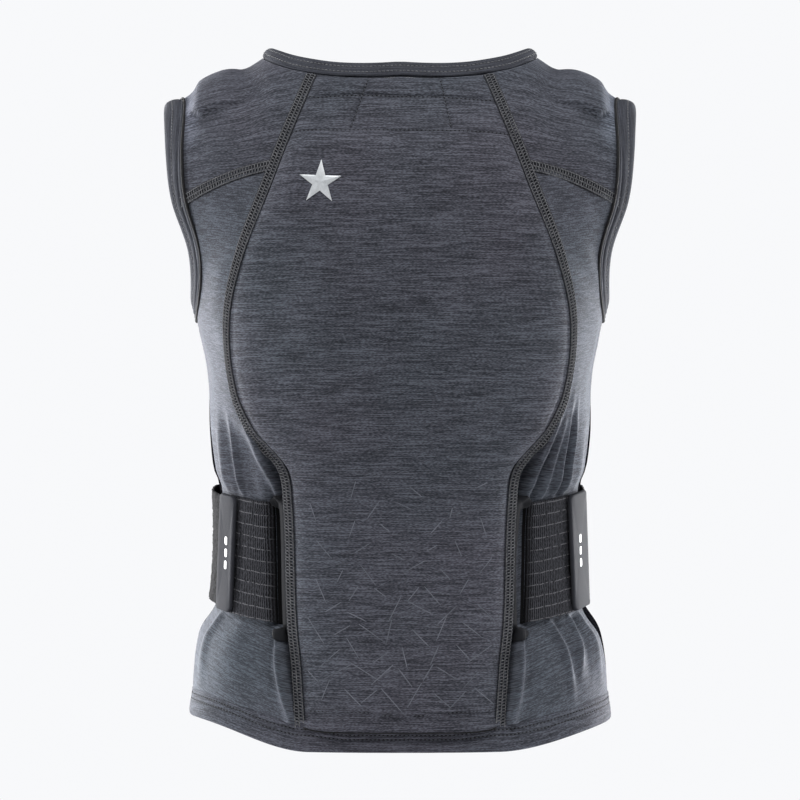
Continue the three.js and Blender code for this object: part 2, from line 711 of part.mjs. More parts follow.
// The film round a belt slot: a spine beside the back seam with a rounded lobe above and below the strap.
function slotPatch(side) {
  const rows = [0, 0.015, 0.033, 0.052, 0.066, 0.075, 0.35, 0.65, 0.925, 0.934, 0.948, 0.967, 0.985, 1];
  return wall({
    columns: 4,
    rows: rows.length - 1,
    place: (s, t) => {
      const share = rows[Math.round(t * (rows.length - 1))];
      const z = lerp(PATCH.bottom, PATCH.top, share);
      const ended = Math.min(share, 1 - share) * (PATCH.top - PATCH.bottom);
      const bow = clamp((2 * ended) / PATCH.lobeHeight - 1, -1, 1);
      const lobe = ended > PATCH.lobeHeight + 0.2 ? PATCH.spine : PATCH.lobe - 4 * bow * bow;
      return backPoint(seamAt(z) + 1.2 + s * (lobe - 1.2), z);
    },
    layers: (at) => [PATCH.low + sideCloth(side, at), PATCH.high + sideCloth(side, at)],
  });
}

function starPrint() {
  const corners = [];
  for (let k = 0; k < 10; k += 1) {
    const reach = k % 2 ? STAR.inner : STAR.radius;
    const angle = STAR.top + k * 36 * DEG;
    corners.push([STAR.x + reach * Math.cos(angle), STAR.z + reach * Math.sin(angle)]);
  }
  const flat = [[STAR.x, STAR.z], ...corners];
  const layer = (off) => flat.map(([x, z]) => standOff(backPoint(x, z), padOut(x, z) + off));
  const triangles = [];
  for (let k = 1; k <= 10; k += 1) {
    const next = (k % 10) + 1;
    triangles.push([0, k, next], [11, 11 + next, 11 + k]);
    triangles.push([k, 11 + k, 11 + next], [k, 11 + next, next]);
  }
  return solid([...layer(STAR.high), ...layer(STAR.low)], triangles);
}

const FINISH = {
  dark: new THREE.MeshStandardMaterial({ color: 0x45474e, roughness: 0.9 }),
  jersey: new THREE.MeshStandardMaterial({ color: 0x6a6d75, roughness: 0.9 }),
  tape: new THREE.MeshStandardMaterial({ color: 0x3c3e44, roughness: 0.9 }),
  elastic: new THREE.MeshStandardMaterial({ color: 0x2b2c30, roughness: 0.95 }),
  rubber: new THREE.MeshStandardMaterial({ color: 0x6f7178, roughness: 0.5 }),
  film: new THREE.MeshStandardMaterial({ color: 0x26272b, roughness: 0.6 }),
  silver: new THREE.MeshStandardMaterial({ color: 0xbfc3c6, roughness: 0.4 }),
};

function piece(name, geometry, finish) {
  const mesh = new THREE.Mesh(geometry, finish);
  mesh.name = name;
  return mesh;
}

function sidePieces(side) {
  const group = new THREE.Group();
  group.add(piece(`yoke_${side}`, yoke(), FINISH.dark));
  group.add(piece(`side_panel_${side}`, sidePanel(side), FINISH.jersey));
  group.add(piece(`front_panel_${side}`, frontPanel(side), FINISH.dark));
  group.add(piece(`armhole_binding_${side}`, armholeBinding(), FINISH.tape));
  group.add(piece(`belt_strap_${side}`, band(STRAP, 7, BELT.height), FINISH.elastic));
  group.add(piece(`belt_tab_${side}`, beltTab(side), FINISH.rubber));
  group.add(piece(`slot_patch_${side}`, slotPatch(side), FINISH.film));
  if (side === "left") group.scale.x = -1;
  return group;
}

const vest = new THREE.Group();
vest.add(piece("back_panel", backPanel(), FINISH.dark));
vest.add(piece("star_print", starPrint(), FINISH.silver));
vest.add(piece("neck_binding", neckBinding(), FINISH.tape));
vest.add(piece("hem_band", hemBand(), FINISH.tape));
vest.add(piece("front_zip", frontZip(), FINISH.tape));
vest.add(piece("belt_front", band(FRONT_BAND, 32, FRONT_BAND.height), FINISH.elastic));
vest.add(sidePieces("left"));
vest.add(sidePieces("right"));

export default vest;
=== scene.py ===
# A child's sleeveless back-protector vest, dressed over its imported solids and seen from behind.
import math

import bpy
import numpy as np
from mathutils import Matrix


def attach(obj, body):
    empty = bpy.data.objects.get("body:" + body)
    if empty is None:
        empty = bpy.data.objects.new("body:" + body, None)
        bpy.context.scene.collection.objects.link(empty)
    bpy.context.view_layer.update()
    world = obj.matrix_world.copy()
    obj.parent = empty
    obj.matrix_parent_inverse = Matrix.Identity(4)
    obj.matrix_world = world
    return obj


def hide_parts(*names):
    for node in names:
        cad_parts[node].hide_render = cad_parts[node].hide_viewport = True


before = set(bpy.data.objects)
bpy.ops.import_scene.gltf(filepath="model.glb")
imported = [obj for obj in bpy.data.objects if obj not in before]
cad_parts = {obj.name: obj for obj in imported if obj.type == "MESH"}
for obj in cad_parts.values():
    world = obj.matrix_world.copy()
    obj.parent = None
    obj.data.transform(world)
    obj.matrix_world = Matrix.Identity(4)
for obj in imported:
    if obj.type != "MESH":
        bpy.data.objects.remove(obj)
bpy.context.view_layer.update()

MM = 0.001  # the form is worked out in millimetres, and the meshes are in metres
DEG = math.pi / 180
FULL_TURN = 2 * math.pi
SIDES = (("left", -1), ("right", 1))
HALVINGS = 46  # steps of a search for a crossing
NECK_POINTS = 161
CORD_SIDES = 8
TINY = 1e-9  # keeps a division from failing
THIN = 1e-6  # least depth of the form, as a share


def table(columns, rows):
    """A short table as a dictionary of named columns."""
    return dict(zip(columns.split(), np.array(rows, float).T))


# Sections of the form: half width, and depth from the side line to the back and to the front.
BODY = table("z half back front", [
    (-420, 132, 86, 80),
    (-378, 128, 85, 80),
    (-345, 118.5, 81.5, 77.5),
    (-319, 113, 79, 75),
    (-285, 111, 78.5, 74),
    (-250, 112, 80.5, 75),
    (-215, 116.8, 86, 78.5),
    (-180, 119.6, 91, 81),
    (-146, 126.8, 95, 83),
    (-110, 136, 95.5, 82),
    (-80, 149, 94, 79),
    (-50, 156, 91, 74),
    (-20, 161, 88, 68),
    (40, 169, 84, 62),
])
SQUARENESS = 2.4  # how square the sections are: 2 is an ellipse

# Height of the shoulder ridge by distance from the middle.
RIDGE = table("x z", [
    (0, 34), (50, 29), (76, 19), (86, 11.8), (98, 4.2), (110, 0.6), (124, -6.5), (150, -22),
])
ARCH_START = -85  # height where the form begins to close over the shoulder
ARCH_POWER = 2.2  # how square that arch is
SHOULDER_CHART = -62  # above this height the form is followed over the shoulder
NORMAL_STEP = (0.006, 0.4)  # angle and length over which a normal is taken

# Half width of the back panel by height: its long seams.
BACK_SEAM = table("z x", [
    (-398, 60), (-330, 64.3), (-264, 66.4), (-242, 70.5), (-218, 87.2),
    (-194, 97), (-150, 101), (-110, 93.2), (-57, 75.2), (10, 48.5),
])
SEAM_TOP_SPAN = np.array([-20.0, 8.0])  # heights between which they meet the neck
YOKE_HEIGHT = -59
YOKE_BOW = 0.55  # how much the yoke's seam bends up towards the armhole
# Rows of the panels' grids that lie at the belt, the armpit, the neck and the yoke.
ROW = dict(belt=5, over_belt=9, armpit=13, front_neck=16, front_top=21, yoke=24, neck=28)

# The neck opening and the armholes, each at the panels' seam and at the tape's free edge.
NECK = dict(half=85, rear=67.2, front=66, rear_power=3, front_power=2.3)
NECK_EDGE = dict(half=76, rear=60.2, front=58, rear_power=3, front_power=2.3)
ARMHOLE = dict(middle=-80, half=51, up=66, down=66, power=2.5)
ARMHOLE_EDGE = dict(middle=-80, half=43.5, up=58.8, down=57, power=2.5)
ARMHOLE_SEARCH = dict(inner=60, margin=1e-4)
YOKE_REAR_ANGLE = 90 * DEG
YOKE_FRONT_ANGLE = -77 * DEG
YOKE_NECK_ANGLE = 125 * DEG
ARMPIT_ANGLE = 193.6 * DEG

# Place of the side seam by height, in degrees from the middle of the back: the belt draws it backwards.
SIDE_SEAM = table("z left right", [
    (-412, 91, 91), (-378, 90, 86), (-345, 88, 77), (-319, 86, 76.3), (-285, 79, 76), (-250, 77, 77),
    (-215, 81, 81), (-180, 91, 91), (-144.5, 97.97, 97.97),
])

# The hem dips in the middle of the back and climbs differently to the two sides.
HEM = dict(back=-412, front=-394, height=16, width=131.5)
HEM_LEFT = dict(rise=17, start=0.42, end=1)
HEM_RIGHT = dict(rise=16, start=0.45, end=1.15)
HEM_FRONT = (0.6, 1)  # shares of the half width between which it levels out towards the front
CLOTH = 0.75  # half the thickness of the jersey
EDGE_GAP = 0.3  # gap between a panel and its seam
# The protector in the back panel: its height out and in, its round edge, and heights where it ends.
PAD = dict(out=9, within=4, round=20, top=-30, full=-52, foot=14, foot_full=30, foam=2.2, skin=0.9)
# Share of that height that is left at the panel's edge, by height, and how far the side panel bridges it.
EDGE = dict(share=0.62, span=(-248, -212, -112, -64), reach=46)
# Height of the shoulder pad by distance from the middle, and how far it reaches down the back.
SHOULDER_PAD = table("x height", [
    (86, 0), (93, 0.2), (97, 1), (101, 2.6), (105, 3.5), (111, 4.1), (118, 4.6), (122.5, 4.3), (126, 2.2),
    (129, 0.7), (134, 0.2), (140, 0),
])
PAD_REACH = dict(turn=46.5 * DEG, middle=109, flat=10, ends=19, shorter=0.1)
PAD_LIP = dict(rise=0.12, place=0.93, wide=0.05, fall=0.95, end=1.015)
# The ridge along its lower edge.
PAD_WELT = dict(height=1.2, place=0.965, wide=0.02, start=82, full=90, end=126, fade=6)
BELT = dict(height=72, slot=-300, side=-287, front=-284, clear=0.8)
SLOT_ANGLE = 32 * DEG
BELT_TURN = 98 * DEG  # where the belt begins to run level round the front
STRAP = dict(end=63 * DEG, low=1.6, high=3.1)
STRAP_START = dict(left=12, right=11.6)  # distance of each strap's end from the back seam, in its slot
STRAP_GRID = dict(columns=121, rows=73)
STRAP_RIB = dict(pitch=1.35, depth=0.2)
# How the ribs sway: how far, over what height, and how unevenly.
STRAP_SWAY = dict(reach=0.13, height=2.6, uneven=3, length=14, seed=41)
STRAP_PICK = dict(pitch=7, rise=0.15, half=0.5)  # raised lines along the strap
# Painted shade on each strap's end in its slot: its length from the slot, in metres, and how dark it is at
# its two ends.
STRAP_SHADE = (0.0045, 0.9, 0.0)
FRONT_BAND = dict(start=64 * DEG, end=296 * DEG, height=68, low=1.75, high=3.25, columns=201, rows=41)
BAND_PILE = dict(height=0.45, seed=11)  # its small loops
TAB = dict(height=72, low=3.7, high=6.3)
TAB_PLACE = dict(left=(57.5 * DEG, 69.5 * DEG), right=(61 * DEG, 78 * DEG))
PATCH = dict(left=8, right=5.2, inner=1.2, top=-258, bottom=-346, low=1.1, high=3.4)
PATCH_GRID = dict(columns=19, rows=121)
PATCH_BOW = dict(left=0.0, right=3.6)  # how much wider the film is near its two lobes
# The lobes at its ends: reach, how round they are, height, and heights where the film narrows again.
PATCH_LOBE = dict(reach=13.5, round=4.5, height=9, narrow=(7.4, 9))
PATCH_RIM = dict(fall=0.8, half=0.5, seam=0.3)
# How far the cloth puffs out below and above the belt: rise, and distances where it is full and gone.
PUFF_BELOW = dict(rise=6, full=20, gone=58)
PUFF_ABOVE = dict(rise=2.6, full=12, gone=60)
PUFF_START = 22 * DEG  # how far from the back seam it is full
SLOT_SPAN = (-365, -335, -262, -232)  # heights between which each slot draws the cloth in
SLOT_DIP = dict(depth=2.2, start=3, end=24)
# The furrow where each strap goes in: depth, distance from the back seam and half width.
SLOT_PULL = dict(left=(5.6, 10.4, 3.2), right=(3.0, 9.4, 2.8))
# A near-black strip in each slot, painted shade where the strap goes in: from its distance from the back
# seam to the strap.
SLOT_PAINTED_SHADE = dict(left=8.2, right=10.2, low=0.9, high=1.25, share=0.98, gap=0.2, columns=9, rows=61)
SLOT_LIFT = 3  # how far the back panel's edge stands out beside a slot
SLOT_SINK = 1.6  # how far its inner face goes in there
SEAM_LEDGE = 4.2  # flat strip at the back panel's edge, under the seam
ZIP = dict(half=5, low=-0.9, high=0.55, columns=21, rows=110)
ZIP_FOLD = dict(rise=0.5, place=3.2, half=0.8)  # the rounded edges of its two tapes
ZIP_GROOVE = dict(depth=0.5, half=0.7)
ZIP_FACING = dict(low=-2.5, high=-1.5, wider=2)
# Its coil: pitch, height over the cloth, width, slant, bow, and half sizes of the wire.
ZIP_COIL = dict(pitch=1.6, height=0.9, wide=3.4, slant=0.25, bow=0.25, half=0.5, tall=0.35, inset=2)
STAR = dict(x=-46.4, z=-71.5, arms=5, radius=12.8, inner=4.7, top=87 * DEG, points=8)
STAR_RISE = dict(low=0.1, high=0.55, bevel=0.25, peak=0.4)
# How far the folded tapes swell on the shoulder, and how soon that fades.
ROLL = dict(neck=1.8, neck_fade=8, arm=2.4, arm_fade=4)
# How far the armhole tape laps over the panels on the shoulder ridge, half way down and at the armpit.
ARM_LAP = (0.6, 6.5, 4)
# How far the tapes' free edges draw back on the shoulder ridge, and how soon that fades.
CORNER = dict(neck=0.22, neck_fade=14, arm=0.2, arm_fade=16)
# The folds: radius that turns angles into lengths, how much they broaden, and where they start and fade.
FOLD = dict(radius=88, broaden=0.8, early=-1.5, full=5, fade=0.4)
# How far from the back seam the folds start and are full, and from the side seam, where they are full.
FOLD_ENDS = dict(back=0.6 * DEG, back_full=2.4 * DEG, side=8 * DEG)

# Ridges and furrows that the belt gathers in each side panel: angle at the belt and at the far end,
# height of that end, rise of the cloth, half width, and how much broader it is on its outer side.
FOLDS = {
    "left": table("near far end rise width outer", [
        (38, 47.2, -200, 5.6, 1.5, 2.2),
        (35, 43.4, -203, -7.0, 2.6, 1),
        (55, 58.5, -200, 2.8, 1.8, 1),
        (49, 52, -208, -1.8, 4.0, 1),
        (59.5, 62, -203, -1.6, 3.0, 1),
        (67, 67, -196, 1.8, 3.4, 1),
        (36.2, 18.6, -428, 8.2, 1.5, 1.3),
        (32.4, 17.8, -428, -9, 1.9, 1),
        (52, 50, -384, 1.0, 7.0, 1),
        (69, 70, -384, 1.8, 3.6, 1),
    ]),
    "right": table("near far end rise width outer", [
        (38.6, 51.2, -195, 5.6, 1.5, 1.8),
        (35.4, 46.6, -200, -7.0, 2.6, 1),
        (42.4, 52.6, -200, -3.0, 1.7, 1),
        (46, 55, -196, 3.8, 1.7, 1),
        (52.5, 58, -190, 3.8, 1.7, 1),
        (55.8, 60, -196, -4.2, 2.0, 1),
        (59.2, 62, -190, 3.8, 1.7, 1),
        (70, 69, -196, 1.2, 5.0, 1),
        (34.8, 21.2, -428, 7.6, 1.6, 1.3),
        (32.2, 19.4, -428, -8, 2.2, 1),
        (47.5, 51.5, -390, 3.4, 1.9, 1),
        (51.5, 55, -380, -1.8, 2.6, 1),
        (59.5, 54.5, -378, 3.2, 1.9, 1),
        (63.5, 61, -380, -1.8, 2.8, 1),
        (69, 71, -386, 2.0, 3.2, 1),
    ]),
}


# Plain arithmetic on arrays.
def lerp(a, b, t):
    return a + (b - a) * t


def smoothstep(value, low, high):
    t = np.clip((value - low) / (high - low), 0, 1)
    return t * t * (3 - 2 * t)


def plateau(value, start, full, leave, end):
    """0 up to start, 1 from full to leave, and 0 again from end."""
    return smoothstep(value, start, full) * (1 - smoothstep(value, leave, end))


def bell(distance, half):
    return np.exp(-(distance / half) ** 2)


def signed_power(value, power):
    return np.sign(value) * np.abs(value) ** power


def unit(vectors):
    return vectors / np.maximum(np.linalg.norm(vectors, axis=-1, keepdims=True), TINY)


def joined(*parts):
    return np.stack(np.broadcast_arrays(*parts), axis=-1)


def through(columns, key, value):
    """A smooth function through two columns of a table."""
    keys = columns[key]
    values = columns[value]
    last = len(keys) - 1
    before = np.maximum(np.arange(last + 1) - 1, 0)
    after = np.minimum(np.arange(last + 1) + 1, last)
    slopes = (values[after] - values[before]) / (keys[after] - keys[before])

    def at(place):
        i = np.clip(np.searchsorted(keys, place) - 1, 0, last - 1)
        span = keys[i + 1] - keys[i]
        t = np.clip((place - keys[i]) / span, 0, 1)
        leave = t * (1 - t) ** 2 * span * slopes[i]
        arrive = t * t * (t - 1) * span * slopes[i + 1]
        return lerp(values[i], values[i + 1], t * t * (3 - 2 * t)) + leave + arrive

    return at


def crossing(function, low, high):
    """The places between low and high where a function changes sign."""
    rising = function(high) > function(low)
    for _ in range(HALVINGS):
        middle = (low + high) / 2
        past = (function(middle) > 0) == rising
        high = np.where(past, middle, high)
        low = np.where(past, low, middle)
    return (low + high) / 2


# The form of the vest, as in the solids.
half_width = through(BODY, "z", "half")
back_depth = through(BODY, "z", "back")
front_depth = through(BODY, "z", "front")
ridge_at = through(RIDGE, "x", "z")
seam_at = through(BACK_SEAM, "z", "x")
side_seam_degrees = {mirror: through(SIDE_SEAM, "z", side) for side, mirror in SIDES}
pad_height = through(SHOULDER_PAD, "x", "height")


def lean(x, z):
    t = np.clip((z - ARCH_START) / (ridge_at(np.abs(x)) - ARCH_START), 0, 1)
    return (1 - t ** ARCH_POWER) ** (1 / ARCH_POWER)


def depth_at(x, z, facing):
    u = np.minimum(np.abs(x) / half_width(z), 1)
    full = np.where(facing < 0, back_depth(z), front_depth(z))
    return facing * full * (1 - u ** SQUARENESS) ** (1 / SQUARENESS) * lean(x, z)


def back_point(x, z):
    return joined(x, depth_at(x, z, np.array(-1)), z)


def front_point(x, z):
    return joined(x, depth_at(x, z, np.array(1)), z)


def around_point(angle, z):
    x = half_width(z) * signed_power(np.sin(angle), 2 / SQUARENESS)
    full = np.where(np.cos(angle) >= 0, back_depth(z), front_depth(z))
    return joined(x, -full * signed_power(np.cos(angle), 2 / SQUARENESS) * lean(x, z), z)


def over_point(x, tilt):
    rise = np.maximum(np.cos(tilt), 0) ** (2 / ARCH_POWER)
    z = ARCH_START + (ridge_at(np.abs(x)) - ARCH_START) * rise
    full = np.where(tilt < 0, back_depth(z), front_depth(z))
    u = np.minimum(np.abs(x) / half_width(z), 1)
    y = full * (1 - u ** SQUARENESS) ** (1 / SQUARENESS) * signed_power(np.sin(tilt), 2 / ARCH_POWER)
    return joined(x, y, z)


def angle_of(points):
    x, y, z = np.moveaxis(points, -1, 0)
    full = np.where(y < 0, back_depth(z), front_depth(z)) * np.maximum(lean(x, z), THIN)
    s = signed_power(x / half_width(z), SQUARENESS / 2)
    c = signed_power(-y / full, SQUARENESS / 2)
    return np.arctan2(s, c)


def tilt_of(points):
    x, y, z = np.moveaxis(points, -1, 0)
    t = np.clip((z - ARCH_START) / (ridge_at(np.abs(x)) - ARCH_START), 0, 1)
    return np.where(y < 0, -1, 1) * np.arccos(t ** (ARCH_POWER / 2))


def normal_at(points):
    """Outward normals of the form at points of it."""
    x, _, z = np.moveaxis(points, -1, 0)
    angle = angle_of(points)
    tilt = tilt_of(points)
    turn, climb = NORMAL_STEP
    around = np.cross(
        around_point(angle + turn, z) - around_point(angle - turn, z),
        around_point(angle, z + climb) - around_point(angle, z - climb),
    )
    over = np.cross(
        over_point(x + climb, tilt) - over_point(x - climb, tilt),
        over_point(x, tilt + turn) - over_point(x, tilt - turn),
    )
    return unit(np.where((z > SHOULDER_CHART)[..., None], over, around))


def armhole_point(angle, edge):
    y = -edge["half"] * signed_power(np.sin(angle), 2 / edge["power"])
    reach = np.where(np.cos(angle) > 0, edge["up"], edge["down"])
    z = edge["middle"] + reach * signed_power(np.cos(angle), 2 / edge["power"])
    facing = np.where(y < 0, -1, 1)
    depth = np.abs(y) + ARMHOLE_SEARCH["margin"]
    inner = ARMHOLE_SEARCH["inner"] + 0 * z
    x = crossing(lambda x: depth - np.abs(depth_at(x, z, facing)), inner, half_width(z))
    return joined(x, depth_at(x, z, facing), z)


def neck_point(angle, edge):
    rear = np.cos(angle) > 0
    power = 2 / np.where(rear, edge["rear_power"], edge["front_power"])
    x = edge["half"] * signed_power(np.sin(angle), power)
    y = -np.where(rear, edge["rear"], edge["front"]) * signed_power(np.cos(angle), power)
    low = np.where(y < 0, -math.pi / 2, 0)
    tilt = crossing(lambda tilt: over_point(x, tilt)[..., 1] - y, low, low + math.pi / 2)
    return over_point(x, tilt)


def side_seam_at(z, mirror):
    """Angle of the side seam; mirror is -1 for the left one."""
    return side_seam_degrees[mirror](np.asarray(z, float)) * DEG


def hem_behind(x, mirror=1):
    """Lower edge of the hem behind, by distance from the middle; mirror is -1 for a left piece."""
    u = np.abs(x) / HEM["width"]
    heights = [
        HEM["back"] + side["rise"] * smoothstep(u, side["start"], side["end"])
        for side in (HEM_LEFT, HEM_RIGHT)
    ]
    return np.where(x * mirror < 0, *heights)


def hem_around(angle, mirror=1):
    s = signed_power(np.sin(angle), 2 / SQUARENESS)
    at_side = hem_behind(np.sign(s) * HEM["width"], mirror)
    front = lerp(HEM["front"], at_side, smoothstep(np.abs(s), *HEM_FRONT))
    return np.where(np.cos(angle) > 0, hem_behind(s * HEM["width"], mirror), front)


# Seams that the panels share.
def neck_across(z):
    x = seam_at(z)
    y = depth_at(x, z, np.array(-1))
    return (x / NECK["half"]) ** NECK["rear_power"] + (-y / NECK["rear"]) ** NECK["rear_power"] - 1


SEAM_TOP = float(crossing(neck_across, *SEAM_TOP_SPAN))
SEAM_BOTTOM = float(hem_behind(seam_at(BACK_SEAM["z"][0]))) + HEM["height"]
NECK_SEAM_ANGLE = math.asin((float(seam_at(SEAM_TOP)) / NECK["half"]) ** (NECK["rear_power"] / 2))
neck_rear = neck_point(np.linspace(-1, 1, NECK_POINTS) * NECK_SEAM_ANGLE, NECK)
yoke_joint = back_point(seam_at(float(YOKE_HEIGHT)), float(YOKE_HEIGHT))
yoke_rear_end = armhole_point(np.array(YOKE_REAR_ANGLE), ARMHOLE)
yoke_front_end = armhole_point(np.array(YOKE_FRONT_ANGLE), ARMHOLE)
yoke_front_neck = neck_point(np.array(YOKE_NECK_ANGLE), NECK)


def side_bottom(mirror):
    """Height of the panels' lower edge at the side seam."""
    return float(hem_around(side_seam_at(HEM["back"] + HEM["height"], mirror), mirror)) + HEM["height"]


def neck_behind(x):
    """Height of the neck seam behind."""
    return np.interp(x, neck_rear[:, 0], neck_rear[:, 2])


def yoke_seam_at(x):
    t = (x - yoke_joint[0]) / (yoke_rear_end[0] - yoke_joint[0])
    return lerp(yoke_joint[2], yoke_rear_end[2], (1 - YOKE_BOW) * t + YOKE_BOW * t * t)


def yoke_front_seam(t):
    angle = lerp(angle_of(yoke_front_neck), angle_of(yoke_front_end), t)
    return around_point(angle, lerp(yoke_front_neck[2], yoke_front_end[2], t))


def belt_at(angle):
    a = np.minimum(angle, FULL_TURN - angle)
    rear = lerp(BELT["slot"], BELT["side"], (a - SLOT_ANGLE) / (BELT_TURN - SLOT_ANGLE))
    front = lerp(BELT["side"], BELT["front"], (a - BELT_TURN) / (math.pi - BELT_TURN))
    return np.where(a > BELT_TURN, front, rear)


def under_belt(angle):
    return belt_at(angle) - BELT["height"] / 2 - BELT["clear"]


def over_belt(angle):
    return belt_at(angle) + BELT["height"] / 2 + BELT["clear"]


def row_height(row, rows, heights):
    return np.interp(row, [ROW.get(name, 0) for name in rows.split()], heights)


def seam_row_height(row):
    heights = [SEAM_BOTTOM, under_belt(SLOT_ANGLE), over_belt(SLOT_ANGLE), YOKE_HEIGHT, SEAM_TOP]
    return row_height(row, "bottom belt over_belt yoke neck", heights)


def outer_edge(row, top_row, start, end, mirror):
    """Angle and height of a row at the side seam, or at the armhole above it."""
    armpit = armhole_point(np.array(start), ARMHOLE)[2]
    middle = side_seam_at(BELT["side"], mirror)
    heights = [side_bottom(mirror), under_belt(middle), over_belt(middle), armpit]
    low = row_height(row, "bottom belt over_belt armpit", heights)
    share = np.clip((row - ROW["armpit"]) / (top_row - ROW["armpit"]), 0, 1)
    point = armhole_point(lerp(start, end, share), ARMHOLE)
    above = row > ROW["armpit"]
    return np.where(above, angle_of(point), side_seam_at(low, mirror)), np.where(above, point[..., 2], low)


# How far the cloth stands off the form.
def beside_slot(z):
    return plateau(z, *SLOT_SPAN)


def dip_at(side, points):
    x, y, z = np.moveaxis(points, -1, 0)
    away = np.abs(x) - seam_at(z)
    deep, middle, wide = SLOT_PULL[side]
    dip = SLOT_DIP["depth"] * (1 - smoothstep(away, SLOT_DIP["start"], SLOT_DIP["end"]))
    return np.where(y > 0, 0, beside_slot(z) * (dip + deep * bell(away - middle, wide)))


def filled_at(z):
    """How much of the protector there is at a height."""
    foot = HEM["back"] + PAD["foot"]
    return plateau(z, foot, HEM["back"] + PAD["foot_full"], PAD["full"], PAD["top"])


def edge_share(z):
    return EDGE["share"] * plateau(z, *EDGE["span"])


def bridge_at(distance, z):
    left = 1 - np.clip(distance / EDGE["reach"], 0, 1)
    return PAD["out"] * filled_at(z) * edge_share(z) * left * left


def pad_round(x, z):
    inward = np.clip((seam_at(z) - np.abs(x) - SEAM_LEDGE) / PAD["round"], 0, 1)
    return np.sqrt(1 - (1 - inward) ** 2)


def pad_out(x, z):
    filled = filled_at(z)
    lift = SLOT_LIFT * beside_slot(z)
    thick = (PAD["out"] - lift) * filled + PAD["foam"] * (1 - filled)
    return PAD["skin"] + lift + thick * lerp(edge_share(z), 1, pad_round(x, z))


def pad_in(x, z):
    return -PAD["skin"] - PAD["within"] * filled_at(z) * pad_round(x, z) - SLOT_SINK * beside_slot(z)


def fold_height(side, angle, z):
    height = np.zeros(np.broadcast(angle, z).shape)
    for near, far, end, rise, width, outer in zip(*FOLDS[side].values()):
        start = over_belt(near * DEG) if end > BELT["slot"] else under_belt(near * DEG)
        reach = end - start
        past = (z - start) * np.sign(reach)
        along = np.clip(past / abs(reach), 0, 1)
        across = (angle - lerp(near, far, along) * DEG) * FOLD["radius"]
        across = np.where(across > 0, across / outer, across)
        fade = smoothstep(past, FOLD["early"], FOLD["full"]) * (1 - smoothstep(along, FOLD["fade"], 1))
        height += rise * fade * bell(across, width * (1 + FOLD["broaden"] * along))
    return height


def puff_at(angle, z):
    height = 0
    for puff, past in ((PUFF_BELOW, under_belt(angle) - z), (PUFF_ABOVE, z - over_belt(angle))):
        height = height + puff["rise"] * plateau(past, 0, puff["full"], puff["full"], puff["gone"])
    return height


def side_cloth(side, points):
    z = points[..., 2]
    angle = angle_of(points)
    away = angle - angle_of(back_point(seam_at(z), z))
    from_side = side_seam_at(z, dict(SIDES)[side]) - angle
    from_back = smoothstep(away, FOLD_ENDS["back"], FOLD_ENDS["back_full"])
    folds = fold_height(side, angle, z) * from_back * smoothstep(from_side, 0, FOLD_ENDS["side"])
    puff = puff_at(angle, z) * smoothstep(away, 0, PUFF_START)
    bridge = bridge_at(np.maximum(away, 0) * FOLD["radius"], z)
    return folds + puff + bridge - dip_at(side, points)


def shoulder_pad(x, tilt):
    """How far the pad lifts the yoke: it is shorter at its two ends, and has a lip along its edge."""
    ends = smoothstep(np.abs(x - PAD_REACH["middle"]), PAD_REACH["flat"], PAD_REACH["ends"])
    reach = np.abs(tilt) / (PAD_REACH["turn"] * (1 - PAD_REACH["shorter"] * ends))
    lip = 1 + PAD_LIP["rise"] * bell(reach - PAD_LIP["place"], PAD_LIP["wide"])
    bulge = np.maximum(pad_height(x), 0) * lip * (1 - smoothstep(reach, PAD_LIP["fall"], PAD_LIP["end"]))
    kept = smoothstep(x, PAD_WELT["start"], PAD_WELT["full"])
    kept = kept * smoothstep(PAD_WELT["end"] - x, 0, PAD_WELT["fade"])
    welt = PAD_WELT["height"] * bell(reach - PAD_WELT["place"], PAD_WELT["wide"])
    return bulge + welt * kept * (tilt < 0)


RIPPLE = dict(waves=9, short=0.6, long=1.8, share=3)
# Slight waves of each cloth: height, length and seed.
WAVES = dict(
    back=(0.35, 55, 3), side=(0.3, 34, 5), front=(0.35, 46, 9), yoke=(0.2, 30, 20), strap=(0.3, 24, 31),
)


def ripple(a, b, length, seed):
    """A soft uneven surface of about unit height, by two coordinates in millimetres."""
    chance = np.random.default_rng(seed)
    height = 0
    for _ in range(RIPPLE["waves"]):
        turn = chance.uniform(0, FULL_TURN)
        pace = FULL_TURN / (length * chance.uniform(RIPPLE["short"], RIPPLE["long"]))
        start = chance.uniform(0, FULL_TURN)
        height = height + np.sin(pace * (a * np.cos(turn) + b * np.sin(turn)) + start)
    return height / RIPPLE["share"]


def waves(cloth, a, b, mirror=0):
    height, length, seed = WAVES[cloth]
    return height * ripple(a, b, length, seed + mirror)


# Sewn lines on the back panel: two across the upper back, two slanted, and one under the protector.
QUILT_HIGH = table("x z", [(-62, -17.4), (-20, -17), (20, -18), (62, -20)])
QUILT_LOW = table("x z", [(-68, -39.4), (-10, -39.4), (30, -40), (68, -41.2)])
QUILT_LEFT = table("z x", [(-39.4, -30), (-34, -28.5), (-20, -23.6), (-8, -19.4), (2, -14.6)])
QUILT_RIGHT = table("z x", [(-40, 30.6), (-33, 29.8), (-20, 27), (-10, 25), (2, 21.5)])
PAD_FOOT = table("x z", [(-57, -387), (-24, -387.4), (0, -390), (30, -387.8), (57, -386.4)])
QUILT_DEPTH = dict(high=1.4, low=1.1, slanted=1.2, foot=1.6)
QUILT_SLANTED = (-42, -38)  # heights between which the slanted lines begin
QUILT = dict(narrow=0.9, broad=6, pull=0.5)
